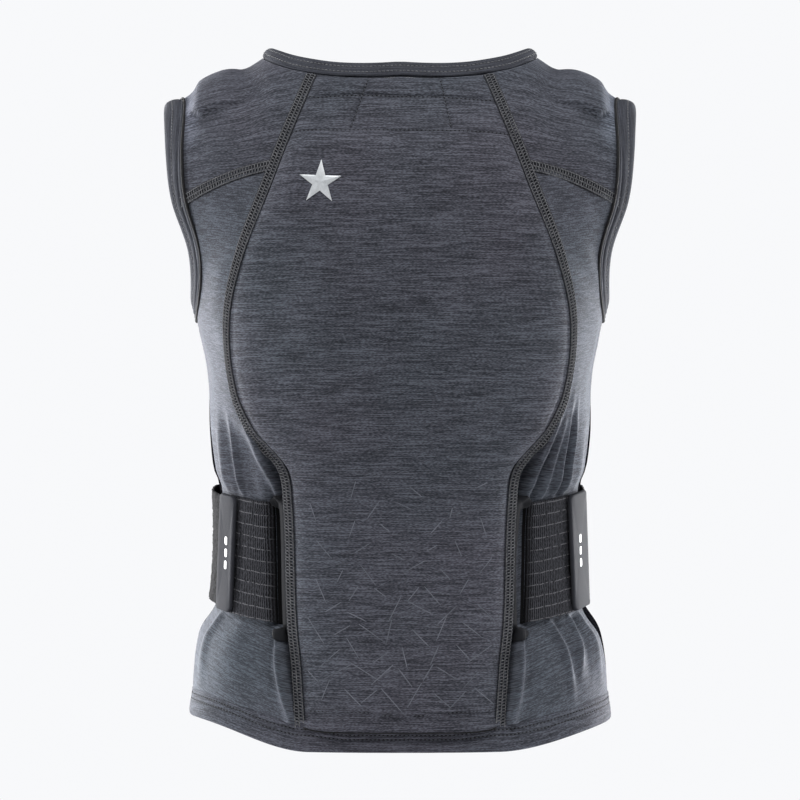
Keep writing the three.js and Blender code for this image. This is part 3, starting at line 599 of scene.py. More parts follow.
# Small gathers beside a sewn line: their distance from it, and how uneven they are.
PUCKER = dict(pitch=5.2, height=0.22, place=2.6, half=2, uneven=1.7, length=26, seed=8, foot=0.7)
PANEL_FLAT = (2, 12)  # distances from the seams between which the quilting begins
NECK_TUCK = dict(height=0.5, start=0.3, reach=5)  # the panel's top edge goes under the neck binding
quilt_high = through(QUILT_HIGH, "x", "z")
quilt_low = through(QUILT_LOW, "x", "z")
quilt_left = through(QUILT_LEFT, "z", "x")
quilt_right = through(QUILT_RIGHT, "z", "x")
pad_foot = through(PAD_FOOT, "x", "z")


def groove(distance, deep):
    return deep * (bell(distance, QUILT["narrow"]) + QUILT["pull"] * bell(distance, QUILT["broad"]))


def quilting(x, z):
    above = smoothstep(z, *QUILT_SLANTED)
    high = groove(z - quilt_high(x), QUILT_DEPTH["high"])
    low = groove(z - quilt_low(x), QUILT_DEPTH["low"])
    foot = groove(z - pad_foot(x), QUILT_DEPTH["foot"])
    slanted = [above * groove(x - line(z), QUILT_DEPTH["slanted"]) for line in (quilt_left, quilt_right)]
    return np.maximum.reduce(np.broadcast_arrays(high, low, foot, *slanted))


def pucker(along, distance):
    """Small gathers that a sewn line leaves beside it."""
    uneven = PUCKER["uneven"] * ripple(along, 0 * along, PUCKER["length"], PUCKER["seed"])
    beat = np.cos(FULL_TURN * along / PUCKER["pitch"] + uneven)
    return PUCKER["height"] * beat * bell(np.abs(distance) - PUCKER["place"], PUCKER["half"])


def panel_top(x, z):
    """Height of the back panel's outer face over the form."""
    inside = smoothstep(seam_at(z) - np.abs(x), *PANEL_FLAT)
    sewn = quilting(x, z) - pucker(x, z - quilt_high(x)) - PUCKER["foot"] * pucker(x, z - pad_foot(x))
    smooth = pad_out(x, z) - sewn * inside + inside * waves("back", x, z)
    from_neck = smoothstep(neck_behind(x) - z, NECK_TUCK["start"], NECK_TUCK["reach"])
    return lerp(NECK_TUCK["height"], smooth, from_neck)


# Meshes from arrays of points.
def wall_faces(rows, columns):
    """Quads of a closed wall: an outer grid, an inner grid and the rim between them."""
    count = rows * columns
    grid = np.arange(count).reshape(rows, columns)
    corners = (grid[:-1, :-1], grid[:-1, 1:], grid[1:, 1:], grid[1:, :-1])
    outer = np.stack(corners, -1).reshape(-1, 4)
    rim = np.concatenate([grid[0, :-1], grid[:-1, -1], grid[-1, :0:-1], grid[:0:-1, 0]])
    after = np.roll(rim, -1)
    edge = np.stack([after, rim, rim + count, after + count], -1)
    return np.concatenate([outer, outer[:, ::-1] + count, edge])


def loft_faces(sections, around, closed):
    """Quads of a tube through sections, and its two end faces if it isn't closed to a ring."""
    grid = np.arange(sections * around).reshape(sections, around)
    here = grid if closed else grid[:-1]
    after = np.roll(grid, -1, axis=0) if closed else grid[1:]
    corners = (here, np.roll(here, -1, axis=1), np.roll(after, -1, axis=1), after)
    faces = np.stack(corners, -1).reshape(-1, 4).tolist()
    if not closed:
        faces += [grid[0, ::-1].tolist(), grid[-1].tolist()]
    return faces


def outward(vertices, faces):
    """The same faces, listed so that the closed mesh faces out."""
    volume = 0.0
    for face in faces:
        if len(face) > 4:
            continue
        a, b, c = vertices[face[0]], vertices[face[1]], vertices[face[2]]
        volume += np.dot(a, np.cross(b, c))
    return faces if volume > 0 else [face[::-1] for face in faces]


def mesh_object(name, vertices, faces, material, cloth=None):
    """A smooth mesh, with the cloth's own coordinates in metres as a UV map."""
    mesh = bpy.data.meshes.new(name)
    mesh.from_pydata((vertices * MM).tolist(), [], faces)
    mesh.polygons.foreach_set("use_smooth", np.ones(len(mesh.polygons), bool))
    if cloth is not None:
        corners = np.empty(len(mesh.loops), int)
        mesh.loops.foreach_get("vertex_index", corners)
        layer = mesh.uv_layers.new(name="Cloth")
        layer.data.foreach_set("uv", (cloth[corners] * MM).ravel())
    mesh.materials.append(material)
    mesh.update()
    piece = bpy.data.objects.new(name, mesh)
    bpy.context.collection.objects.link(piece)
    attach(piece, "root")
    return piece


def wall(name, places, low, high, cloth, material, mirror=1):
    """A closed wall over a grid of the form's points, between two heights off it."""
    out = normal_at(places)
    outer = places + out * np.broadcast_to(high, places.shape[:2])[..., None]
    inner = places + out * np.broadcast_to(low, places.shape[:2])[..., None]
    vertices = np.concatenate([outer.reshape(-1, 3), inner.reshape(-1, 3)]) * (mirror, 1, 1)
    faces = wall_faces(*places.shape[:2])
    if mirror < 0:
        faces = faces[:, ::-1]
    both = np.concatenate([cloth.reshape(-1, 2)] * 2)
    return mesh_object(name, vertices, faces.tolist(), material, both)


def loft(name, sections, cloth, material, closed, mirror=1):
    vertices = sections.reshape(-1, 3) * (mirror, 1, 1)
    faces = outward(vertices, loft_faces(*sections.shape[:2], closed))
    return mesh_object(name, vertices, faces, material, cloth.reshape(-1, 2))


TUBE_END = 0.5  # share of its size that a tube has at its ends


def tubes(paths, outs, half_wide, half_tall, sides=5):
    """Vertices and faces of many short rounded tubes: paths and outs are tubes by points by 3."""
    count, points = paths.shape[:2]
    along = unit(np.gradient(paths, axis=1))
    across = unit(np.cross(along, outs))
    up = np.cross(across, along)
    swell = np.ones(points)
    swell[[0, -1]] = TUBE_END
    turn = np.arange(sides) * FULL_TURN / sides
    wide = (half_wide * swell)[:, None] * np.cos(turn)
    tall = (half_tall * swell)[:, None] * np.sin(turn)
    rings = paths[:, :, None] + across[:, :, None] * wide[..., None] + up[:, :, None] * tall[..., None]
    grid = np.arange(count * points * sides).reshape(count, points, sides)
    here, after = grid[:, :-1], grid[:, 1:]
    corners = (here, after, np.roll(after, -1, axis=2), np.roll(here, -1, axis=2))
    faces = np.stack(corners, -1).reshape(-1, 4).tolist()
    faces += grid[:, 0].tolist() + grid[:, -1, ::-1].tolist()
    return rings.reshape(-1, 3), faces


def thread_object(name, groups, material, mirror=1):
    """One mesh of many groups of tubes."""
    vertices, faces = [], []
    start = 0
    for points, quads in groups:
        vertices.append(points)
        faces += [[start + i for i in face] for face in quads]
        start += len(points)
    vertices = np.concatenate(vertices) * (mirror, 1, 1)
    if mirror < 0:
        faces = [face[::-1] for face in faces]
    return mesh_object(name, vertices, faces, material)


def distances(line):
    """Distance along a line of points, from its first one."""
    steps = np.linalg.norm(np.diff(line, axis=0), axis=1)
    return np.concatenate([[0], np.cumsum(steps)])


def arc_lengths(places):
    """Distance along each row of a grid of points, from its first column."""
    return np.stack([distances(row) for row in places])


class Track:
    """A line on the cloth, with the directions along it, across it and out of it."""

    def __init__(self, line, lift=0.0, out=None):
        self.out = normal_at(line) if out is None else out
        self.line = line + self.out * np.broadcast_to(lift, len(line))[:, None]
        self.distance = distances(self.line)
        self.length = self.distance[-1]
        self.across = unit(np.cross(np.gradient(self.line, axis=0), self.out))

    def read(self, values, distance):
        return np.stack([np.interp(distance, self.distance, column) for column in values.T], axis=-1)

    def place(self, distance, across=0.0, out=0.0):
        distance, across, out = np.broadcast_arrays(distance, across, out)
        point = self.read(self.line, distance)
        sideways = unit(self.read(self.across, distance))
        upward = unit(self.read(self.out, distance))
        return point + sideways * across[..., None] + upward * out[..., None], upward


THREAD = dict(radius=0.34, pitch=2.5, stitch=1.9, hole=1.05, bridge=1.1)
# Points of a stitch: share along it, and height over the cloth.
STITCH = table("share height", [(-0.5, -0.25), (-0.25, 0.06), (0.25, 0.06), (0.5, -0.25)])
FLATLOCK = dict(half=3.8, pitch=1.9, row=2.7, radius=0.42, height=0.5, fall=(0.6, 4.2))
# The threads of a flat seam: share along a stitch, and height of the stitches and of the thinner rungs.
LADDER = table("share stitch rung", [
    (-0.5, -0.25, -0.12), (-0.2, 0.1, 0), (0.2, 0.1, 0), (0.5, -0.25, -0.12),
])
LADDER_SIZE = dict(stitch=0.9, lean=0.3, rung=0.85)
# Outline of the ribbon under them: share of its half width, and height.
SEAM_RIBBON = table("across height", [
    (-1, -0.5), (-0.98, 0.1), (-0.8, 0.3), (-0.62, 0), (-0.45, -0.1), (0, 0.3),
    (0.45, -0.1), (0.62, 0), (0.8, 0.3), (0.98, 0.1), (1, -0.5),
])


def stitch_row(track, length=THREAD["stitch"], phase=0.5, radius=THREAD["radius"]):
    """Short stitches along a track that dive into the cloth at both ends."""
    count = max(int(track.length / THREAD["pitch"]), 1)
    middles = (np.arange(count) + phase) * track.length / count
    points, outs = track.place(middles[:, None] + STITCH["share"] * length, 0.0, STITCH["height"])
    return tubes(points, outs, radius, radius)


def pricked_rows(name, tracks):
    """Sewn lines: near-black dashes at the needle holes, painted shade, with a little thread between them.
    """
    holes = ("_holes", THREAD["hole"], 0.5, painted_shade_black)
    bridges = ("_threads", THREAD["bridge"], 1.0, dark_thread)
    for part, length, phase, material in (holes, bridges):
        rows = [stitch_row(track, length, phase) for track in tracks]
        piece = thread_object(name + part, rows, material)


def shade_tube(name, line, out, radius, mirror=1):
    """One round near-black tube along a line: a painted shade line."""
    group = tubes(line[None], out[None], radius, radius, CORD_SIDES)
    return thread_object(name, [group], painted_shade_black, mirror)


def flat_seam(name, side, mirror, track, sections, drop=0.0):
    """A cover-stitched seam: a low ribbon with a furrow at each needle row, and a ladder of thread.

    It sinks by drop towards the lower cloth on its outer side.
    """
    def place(distance, across, height):
        fall = np.interp(distance, track.distance, np.broadcast_to(drop, len(track.line)))
        return track.place(distance, across, height - fall * smoothstep(across, *FLATLOCK["fall"]))

    across = SEAM_RIBBON["across"] * FLATLOCK["half"]
    distance = np.linspace(0, track.length, sections)[:, None]
    ribbon, _ = place(distance, across, SEAM_RIBBON["height"])
    band = loft(f"{name}_band_{side}", ribbon, joined(across, distance), seam_jersey, False, mirror)
    pitch = FLATLOCK["pitch"]
    count = int(track.length / pitch)
    start = (np.arange(count) + 0.5)[:, None] * track.length / count
    share = LADDER["share"]
    groups = []
    for row in (-FLATLOCK["row"], 0, FLATLOCK["row"]):
        along = start + LADDER_SIZE["stitch"] * share * pitch
        points, outs = place(along, row, FLATLOCK["height"] + LADDER["stitch"])
        groups.append(tubes(points, outs, FLATLOCK["radius"], FLATLOCK["radius"]))
    thin = FLATLOCK["radius"] * LADDER_SIZE["rung"]
    for half in (-1, 1):
        along = start + (0.5 + LADDER_SIZE["lean"] * half * share) * pitch
        aside = half * FLATLOCK["row"] * (0.5 + share)
        points, outs = place(along, aside, FLATLOCK["height"] + LADDER["rung"])
        groups.append(tubes(points, outs, thin, thin))
    threads = thread_object(f"{name}_threads_{side}", groups, grey_thread, mirror)


# Materials.
PALE_SHEEN = (0.67, 0.71, 0.83, 1)
PAINTED_LIGHT_GAIN = (2.1, 2.12, 2.14, 1)  # how much lighter the painted light makes the yoke's strip
COURSE = 0.001  # what is lower than this is one course of the knit, in metres
COURSE_SHIFT = 50.0  # most that a course is moved, in streaks
# Streaks of each jersey: length and thickness in metres, and share of the pattern.
BACK_YARNS = ((0.015, 0.0005, 0.47), (0.0016, 0.00048, 0.44), (0.05, 0.007, 0.09))
SIDE_YARNS = ((0.009, 0.0005, 0.46), (0.0015, 0.00048, 0.42), (0.04, 0.012, 0.12))
JERSEY = dict(rough=0.85, sheen=0.42, stops=(0.41, 0.5, 0.6), patch=0.11, depth=0.00025, strength=0.5)
JERSEY_TINT = ((0.35, (252, 247, 250)), (0.65, (243, 249, 250)))  # faint patches of warmer and cooler grey
# Dark, middle and pale yarn of each jersey.
BACK_TONES = ((36, 37, 42), (57, 59, 66), (84, 86, 94))
# The side panels are the same jersey as the back; their paler dark and middle yarn is partly painted light,
# for the side lights.
SIDE_TONES = ((44, 46, 51), (62, 65, 72), (83, 87, 95))
FRONT_TONES = ((8, 8, 10), (14, 14, 17), (22, 23, 26))
HEM_TONES = ((37, 38, 43), (56, 58, 65), (80, 82, 90))
SEAM_TONES = ((26, 26, 29), (36, 37, 41), (50, 51, 56))
# Painted light on the yoke: a lighter strip over the shoulder's end, between distances across it and along
# it, in metres.
YOKE_LIT_STRIP = ((0.12, 0.128), (0.092, 0.055))
PICK = dict(half=0.0035, thin=0.0003, wander=0.0009, broken=0.45, share=0.75)  # pale lines of the elastic


def tone(red, green, blue):
    """A colour as a picture shows it, 0 to 255, in linear values."""
    share = np.array([red, green, blue]) / 255
    linear = np.where(share <= 0.04045, share / 12.92, ((share + 0.055) / 1.055) ** 2.4)
    return (*linear.tolist(), 1.0)


class Nodes:
    """A tree of nodes, built from its last node back."""

    def __init__(self, tree):
        self.tree = tree

    def node(self, kind, inputs=None, **settings):
        node = self.tree.nodes.new("ShaderNode" + kind)
        for setting, value in settings.items():
            setattr(node, setting, value)
        for socket, value in (inputs or {}).items():
            self.put(value, node.inputs[socket])
        return node

    def put(self, value, socket):
        if isinstance(value, bpy.types.NodeSocket):
            self.tree.links.new(value, socket)
        else:
            socket.default_value = value

    def span(self, value, low, high, start=0.0, end=1.0):
        """A value between low and high, as a share between start and end."""
        reach = {"Value": value, "From Min": low, "From Max": high, "To Min": start, "To Max": end}
        return self.node("MapRange", reach).outputs["Result"]

    def part(self, vector, axis):
        return self.node("SeparateXYZ", {"Vector": vector}).outputs[axis]


class Finish(Nodes):
    """A node material."""

    def __init__(self, name, **surface):
        self.material = bpy.data.materials.new(name)
        self.material.use_nodes = True
        super().__init__(self.material.node_tree)
        self.surface = self.tree.nodes["Principled BSDF"]
        for socket, value in surface.items():
            self.surface.inputs[socket.replace("_", " ")].default_value = value

    def cloth(self, across=1, along=1):
        """The cloth's coordinates, divided by a size across and along it in metres."""
        source = self.node("UVMap", uv_map="Cloth").outputs["UV"]
        return self.scaled(source, (1 / across, 1 / along, 1))

    def scaled(self, vector, scale):
        return self.node("Mapping", {"Vector": vector, "Scale": scale}).outputs["Vector"]

    def courses(self, across, along):
        """The same coordinates, with each course of the knit moved along by a length of its own."""
        vector = self.cloth(across, along)
        up = self.part(vector, "Y")
        course = {"W": self.math("FLOOR", up)}
        chance = self.node("TexWhiteNoise", course, noise_dimensions="1D").outputs["Value"]
        moved = self.math("ADD", self.part(vector, "X"), self.math("MULTIPLY", chance, COURSE_SHIFT))
        return self.node("CombineXYZ", {"X": moved, "Y": up}).outputs["Vector"]

    def space(self, size):
        source = self.node("TexCoord").outputs["Object"]
        return self.scaled(source, (1 / size, 1 / size, 1 / size))

    def noise(self, vector, detail=2.0, roughness=0.5):
        inputs = {"Vector": vector, "Scale": 1.0, "Detail": detail, "Roughness": roughness}
        return self.node("TexNoise", inputs).outputs["Fac"]

    def math(self, operation, a, b=0.0):
        return self.node("Math", {0: a, 1: b}, operation=operation).outputs[0]

    def total(self, *parts):
        """The sum of values, each times its own share."""
        height = 0.0
        for value, share in parts:
            height = self.math("ADD", self.math("MULTIPLY", value, share), height)
        return height

    def ramp(self, share, stops):
        node = self.node("ValToRGB", {"Fac": share})
        points = node.color_ramp.elements
        stops = list(stops)
        while len(points) < len(stops):
            points.new(0.5)
        for point, (place, colour) in zip(points, stops):
            point.position = place
            point.color = colour
        return node.outputs["Color"]

    def blend(self, share, a, b, kind="MIX"):
        node = self.node("Mix", data_type="RGBA", blend_type=kind)
        for socket, value in ((0, share), (6, a), (7, b)):
            self.put(value, node.inputs[socket])
        return node.outputs[2]

    def colour(self, value):
        self.put(value, self.surface.inputs["Base Color"])

    def bump(self, height, depth, strength=1.0):
        node = self.node("Bump", {"Height": height, "Distance": depth, "Strength": strength})
        self.put(node.outputs["Normal"], self.surface.inputs["Normal"])


def heather(name, yarns, tones, sheen=0.0, gloss=0.15, lit_strip=None):
    """Stretch jersey of mixed yarn: crisp pale and dark streaks along the courses, over a small knit.

    Where a strip is given, between two distances across it and two along it, the jersey is lighter: painted
    light.
    """
    finish = Finish(
        name, Roughness=JERSEY["rough"], Sheen_Weight=sheen, Sheen_Roughness=JERSEY["sheen"],
        Sheen_Tint=PALE_SHEEN, Specular_IOR_Level=gloss,
    )
    parts = []
    for across, along, share in yarns:
        spread = finish.courses if along < COURSE else finish.cloth
        parts.append((finish.noise(spread(across, along), detail=0.6, roughness=0.5), share))
    streaks = finish.total(*parts)
    shade = finish.ramp(streaks, zip(JERSEY["stops"], [tone(*colour) for colour in tones]))
    patch = finish.noise(finish.space(JERSEY["patch"]), detail=2.0, roughness=0.5)
    tint = finish.ramp(patch, [(place, tone(*colour)) for place, colour in JERSEY_TINT])
    shade = finish.blend(1.0, shade, tint, "MULTIPLY")
    # Painted light: a lighter strip on the jersey, where one is given.
    if lit_strip:
        cloth = finish.cloth()
        across = finish.span(finish.part(cloth, "X"), *lit_strip[0])
        along = finish.span(finish.math("ABSOLUTE", finish.part(cloth, "Y")), *lit_strip[1])
        shade = finish.blend(finish.math("MULTIPLY", across, along), shade, PAINTED_LIGHT_GAIN, "MULTIPLY")
    finish.colour(shade)
    finish.bump(streaks, JERSEY["depth"], JERSEY["strength"])
    return finish.material


def tape(name, dark, light):
    """Folded knit tape with fine ribs along its length."""
    finish = Finish(name, Roughness=0.9, Specular_IOR_Level=0.12)
    ribs = finish.noise(finish.cloth(across=0.02, along=0.0006), detail=1.0, roughness=0.5)
    grain = finish.noise(finish.cloth(across=0.0015, along=0.0009), detail=2.0, roughness=0.6)
    mixed = finish.total((ribs, 0.6), (grain, 0.4))
    finish.colour(finish.ramp(mixed, [(0.36, dark), (0.64, light)]))
    finish.bump(mixed, depth=0.0003, strength=0.6)
    return finish.material


def ribbed_elastic(name, dark, rib, line):
    """Woven elastic: fine upright ribs, and a thin paler picked line every 7 mm, broken by the ribs.

    Its end is darkened with painted shade, where it goes into the slot.
    """
    finish = Finish(name, Roughness=0.9, Specular_IOR_Level=0.1)
    along = finish.part(finish.cloth(), "X")
    up = finish.part(finish.cloth(), "Y")
    half = STRAP_RIB["pitch"] * MM / 2
    upright = finish.math("DIVIDE", finish.math("PINGPONG", along, half), half)
    speckle = finish.noise(finish.cloth(across=0.0009, along=0.0021), detail=2.0, roughness=0.7)
    weave = finish.total((upright, 0.42), (speckle, 0.6))
    base = finish.ramp(weave, [(0.36, dark), (0.84, rib)])
    uneven = finish.noise(finish.cloth(across=0.006, along=0.05), detail=1.0, roughness=0.5)
    row = finish.math("PINGPONG", finish.total((up, 1.0), (uneven, PICK["wander"])), PICK["half"])
    on_row = finish.math("LESS_THAN", row, PICK["thin"])
    broken = finish.noise(finish.cloth(across=0.0016, along=0.02), detail=1.0, roughness=0.5)
    shown = finish.math("MULTIPLY", on_row, finish.math("GREATER_THAN", broken, PICK["broken"]))
    woven = finish.blend(finish.math("MULTIPLY", shown, PICK["share"]), base, line)
    # Painted shade: darker towards the strap's end in the slot.
    finish.colour(finish.blend(finish.span(along, 0.0, *STRAP_SHADE), woven, dark))
    finish.bump(weave, depth=0.0005, strength=0.8)
    return finish.material


def loop_pile(name, dark, light):
    """Brushed loops: small rings with dark gaps between them."""
    finish = Finish(name, Roughness=0.95, Specular_IOR_Level=0.1)
    loops = finish.node("TexVoronoi", {"Vector": finish.cloth(across=0.0012, along=0.0012), "Scale": 1.0})
    tuft = finish.noise(finish.cloth(across=0.0035, along=0.0025), detail=3.0, roughness=0.6)
    mixed = finish.math("MULTIPLY", loops.outputs["Distance"], tuft)
    finish.colour(finish.ramp(mixed, [(0.04, light), (0.46, dark)]))
    finish.bump(mixed, depth=0.0009, strength=-0.8)
    return finish.material


def moulded(name, low, high, rough, grain, depth, gloss=0.5):
    """Rubber or film: a nearly even colour with a fine grain and a faint bloom."""
    finish = Finish(name, Roughness=rough, Specular_IOR_Level=gloss)
    bloom = finish.noise(finish.space(size=0.02), detail=3.0, roughness=0.6)
    finish.colour(finish.ramp(bloom, [(0.3, low), (0.7, high)]))
    fine = finish.noise(finish.space(grain), detail=2.0, roughness=0.6)
    finish.bump(fine, depth, strength=0.5)
    return finish.material


def reflective(name, low, high):
    """Transfer film with tiny glass beads: pale, silvery and finely grained."""
    finish = Finish(name, Roughness=0.42, Metallic=0.35)
    beads = finish.noise(finish.space(size=0.0005), detail=2.0, roughness=0.7)
    worn = finish.noise(finish.space(size=0.006), detail=3.0, roughness=0.6)
    mixed = finish.total((beads, 0.4), (worn, 0.6))
    finish.colour(finish.ramp(mixed, [(0.36, low), (0.62, high)]))
    finish.bump(beads, depth=0.0001, strength=0.4)
    return finish.material


def thread_finish(name, dark, light):
    finish = Finish(name, Roughness=0.75, Specular_IOR_Level=0.2)
    fleck = finish.noise(finish.space(size=0.0016), detail=2.0, roughness=0.6)
    finish.colour(finish.ramp(fleck, [(0.32, dark), (0.68, light)]))
    finish.bump(fleck, depth=0.0002, strength=0.5)
    return finish.material


back_jersey = heather("back_jersey", BACK_YARNS, BACK_TONES, sheen=0.05)
yoke_jersey = heather("yoke_jersey", BACK_YARNS, BACK_TONES, sheen=0.05, lit_strip=YOKE_LIT_STRIP)
side_jersey = heather("side_jersey", SIDE_YARNS, SIDE_TONES, sheen=0.15)
front_jersey = heather("front_jersey", SIDE_YARNS, FRONT_TONES, gloss=0)
hem_jersey = heather("hem_jersey", BACK_YARNS, HEM_TONES, sheen=0.1)
seam_jersey = heather("seam_jersey", SIDE_YARNS, SEAM_TONES)
binding_tape = tape("binding_tape", tone(36, 37, 42), tone(62, 64, 71))
elastic = ribbed_elastic("ribbed_elastic", tone(8, 8, 10), tone(74, 75, 81), tone(96, 96, 100))
loop_band = loop_pile("loop_band", tone(6, 6, 7), tone(36, 36, 39))
tab_rubber = moulded(
    "tab_rubber", tone(41, 42, 47), tone(47, 48, 53), rough=0.8, grain=0.0009, depth=0.00012, gloss=0.1,
)
slot_film = moulded(
    "slot_film", tone(24, 25, 28), tone(31, 32, 36), rough=0.7, grain=0.0006, depth=0.00008, gloss=0.2,
)
# Near-black knit in each slot: painted shade, where the strap goes in under the film.
slot_painted_shade = tape("slot_painted_shade", tone(4, 4, 5), tone(9, 9, 11))
silver = reflective("reflective_film", tone(168, 172, 176), tone(198, 201, 204))
grey_thread = thread_finish("grey_thread", tone(66, 67, 71), tone(100, 101, 104))
dark_thread = thread_finish("dark_thread", tone(58, 60, 65), tone(82, 84, 90))
# Near-black painted shade: the needle holes, and the lines under the back panel's edge and beside the
# armhole tapes.
painted_shade_black = thread_finish("painted_shade_black", tone(10, 10, 12), tone(24, 24, 27))
white_mark = moulded(
    "white_mark", tone(226, 227, 230), tone(240, 241, 243), rough=0.5, grain=0.0008, depth=0.0001,
)
print_film = moulded(
    "print_film", tone(72, 74, 81), tone(96, 98, 106), rough=0.85, grain=0.0006, depth=0.00005, gloss=0.1,
)
zip_tape = tape("zip_tape", tone(30, 31, 35), tone(48, 49, 55))


# The padded back panel.
PANEL = dict(columns=151, low_rows=178, high_rows=80, least=0.8)
# Its lower edge: how far it laps over the hem and stands off it, where that ends, and its round corners.
PANEL_FOOT = dict(drop=3.6, off=1.9, end=6, corner=8)
PANEL_BEND = dict(foot=4, lap=30, neck=6)  # how soon its rows straighten, from both ends
# A near-black line under the back panel's lower edge: painted shadow.
PANEL_SHADOW_LINE = dict(height=2.1, half=0.65, below=0.5, share=0.96, points=200)


def panel_foot(x):
    """Height of the back panel's lower edge: its corners are round."""
    across = np.minimum(np.abs(x) / (seam_at(SEAM_BOTTOM) - EDGE_GAP), 1)
    drop = PANEL_FOOT["drop"] * (1 - across ** PANEL_FOOT["corner"])
    return hem_behind(x) + HEM["height"] + EDGE_GAP - drop


def back_panel():
    low_rows = np.linspace(0, ROW["yoke"], PANEL["low_rows"])
    high_rows = np.linspace(ROW["yoke"], ROW["neck"], PANEL["high_rows"])
    rows = np.concatenate([low_rows, high_rows[1:]])[:, None]
    aside = np.linspace(-1, 1, PANEL["columns"])[None, :]
    up = rows / ROW["neck"]
    height = seam_row_height(rows)
    x = aside * (seam_at(height) - EDGE_GAP)
    neck = neck_point(aside * NECK_SEAM_ANGLE, NECK)[..., 2]
    bottom = hem_behind(x) + HEM["height"] + EDGE_GAP
    foot = (bottom - SEAM_BOTTOM) * (1 - up) ** PANEL_BEND["foot"]
    lap = (panel_foot(x) - bottom) * (1 - up) ** PANEL_BEND["lap"]
    z = height + foot + (neck - SEAM_TOP - 2 * EDGE_GAP) * up ** PANEL_BEND["neck"] + lap
    places = back_point(x, z)
    lapped = 1 - smoothstep(z - hem_behind(x) - HEM["height"], -PANEL_FOOT["drop"], PANEL_FOOT["end"])
    high = panel_top(x, z) + PANEL_FOOT["off"] * lapped
    low = np.minimum(lerp(pad_in(x, z), PANEL_FOOT["off"], lapped), high - PANEL["least"])
    piece = wall("back_panel_quilted", places, low, high, joined(x, z), back_jersey)
    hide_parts("back_panel")


# The side panels, gathered by the belt.
SIDE_GRID = dict(columns=129, rows=205)
EDGE_BEND = dict(hem=12, top=8)  # how soon the rows of the side and front panels straighten
# How much the courses climb from the back seam towards the side, and the heights where that changes.
GRAIN_RISE = dict(low=0.34, high=0.1, start=-310, end=-220)
# Distances from their edges where the waves of the side and front panels start and are full.
WAVE_EDGE = dict(start=2, side=14, front=16, zip=10, seam=12 * DEG)


def side_places(mirror):
    aside = np.linspace(0, 1, SIDE_GRID["columns"])[None, :]
    up = np.linspace(0, 1, SIDE_GRID["rows"])[:, None]
    height = seam_row_height(up * ROW["yoke"])
    start = angle_of(back_point(seam_at(height) + EDGE_GAP, height))
    end, end_height = outer_edge(up * ROW["yoke"], ROW["yoke"], ARMPIT_ANGLE, YOKE_REAR_ANGLE, mirror)
    angle = lerp(start, end, aside)
    straight = lerp(SEAM_BOTTOM, side_bottom(mirror), aside)
    hem = (hem_around(angle, mirror) + HEM["height"] + EDGE_GAP - straight) * (1 - up) ** EDGE_BEND["hem"]
    chord = lerp(yoke_joint[2], yoke_rear_end[2], aside)
    top_angle = lerp(angle_of(yoke_joint), angle_of(yoke_rear_end), aside)
    nearly = yoke_seam_at(around_point(top_angle, chord)[..., 0])
    top = (yoke_seam_at(around_point(top_angle, nearly)[..., 0]) - chord) * up ** EDGE_BEND["top"]
    return around_point(angle, lerp(height, end_height, aside) + hem + top)


def side_panel(side, mirror):
    places = side_places(mirror)
    across = arc_lengths(places)
    z = places[..., 2]
    higher = smoothstep(z, GRAIN_RISE["start"], GRAIN_RISE["end"])
    cloth = joined(across, z - lerp(GRAIN_RISE["low"], GRAIN_RISE["high"], higher) * across)
    from_side = side_seam_at(z, mirror) - angle_of(places)
    inside = smoothstep(across, WAVE_EDGE["start"], WAVE_EDGE["side"])
    inside = inside * smoothstep(from_side, 0, WAVE_EDGE["seam"])
    off = side_cloth(side, places) + inside * waves("side", across, z, mirror)
    piece = wall("side_panel_draped_" + side, places, off - CLOTH, off + CLOTH, cloth, side_jersey, mirror)
    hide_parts("side_panel_" + side)


# The overlocked strip inside each side seam.
ALLOWANCE = dict(half=4, low=-2.1, high=-1.1, rows=90, columns=9)


def side_seam_inside(side, mirror):
    armpit = armhole_point(np.array(ARMPIT_ANGLE), ARMHOLE)[2]
    z = np.linspace(side_bottom(mirror) + 1, armpit - 1, ALLOWANCE["rows"])[:, None]
    across = np.linspace(-1, 1, ALLOWANCE["columns"])[None, :] * ALLOWANCE["half"]
    angle = side_seam_at(z, mirror) + across / half_width(z)
    off = puff_at(angle, z)
    places = around_point(angle, z + 0 * across)
    low = off + ALLOWANCE["low"]
    high = off + ALLOWANCE["high"]
    piece = wall("side_seam_inside_" + side, places, low, high, joined(across, z), seam_jersey, mirror)


# The front panels and the zip.
FRONT_GRID = dict(columns=41, rows=111)
FRONT_GAP = 0.007  # angle between a front panel and its side panel
COLLAR_ANGLE = 178 * DEG


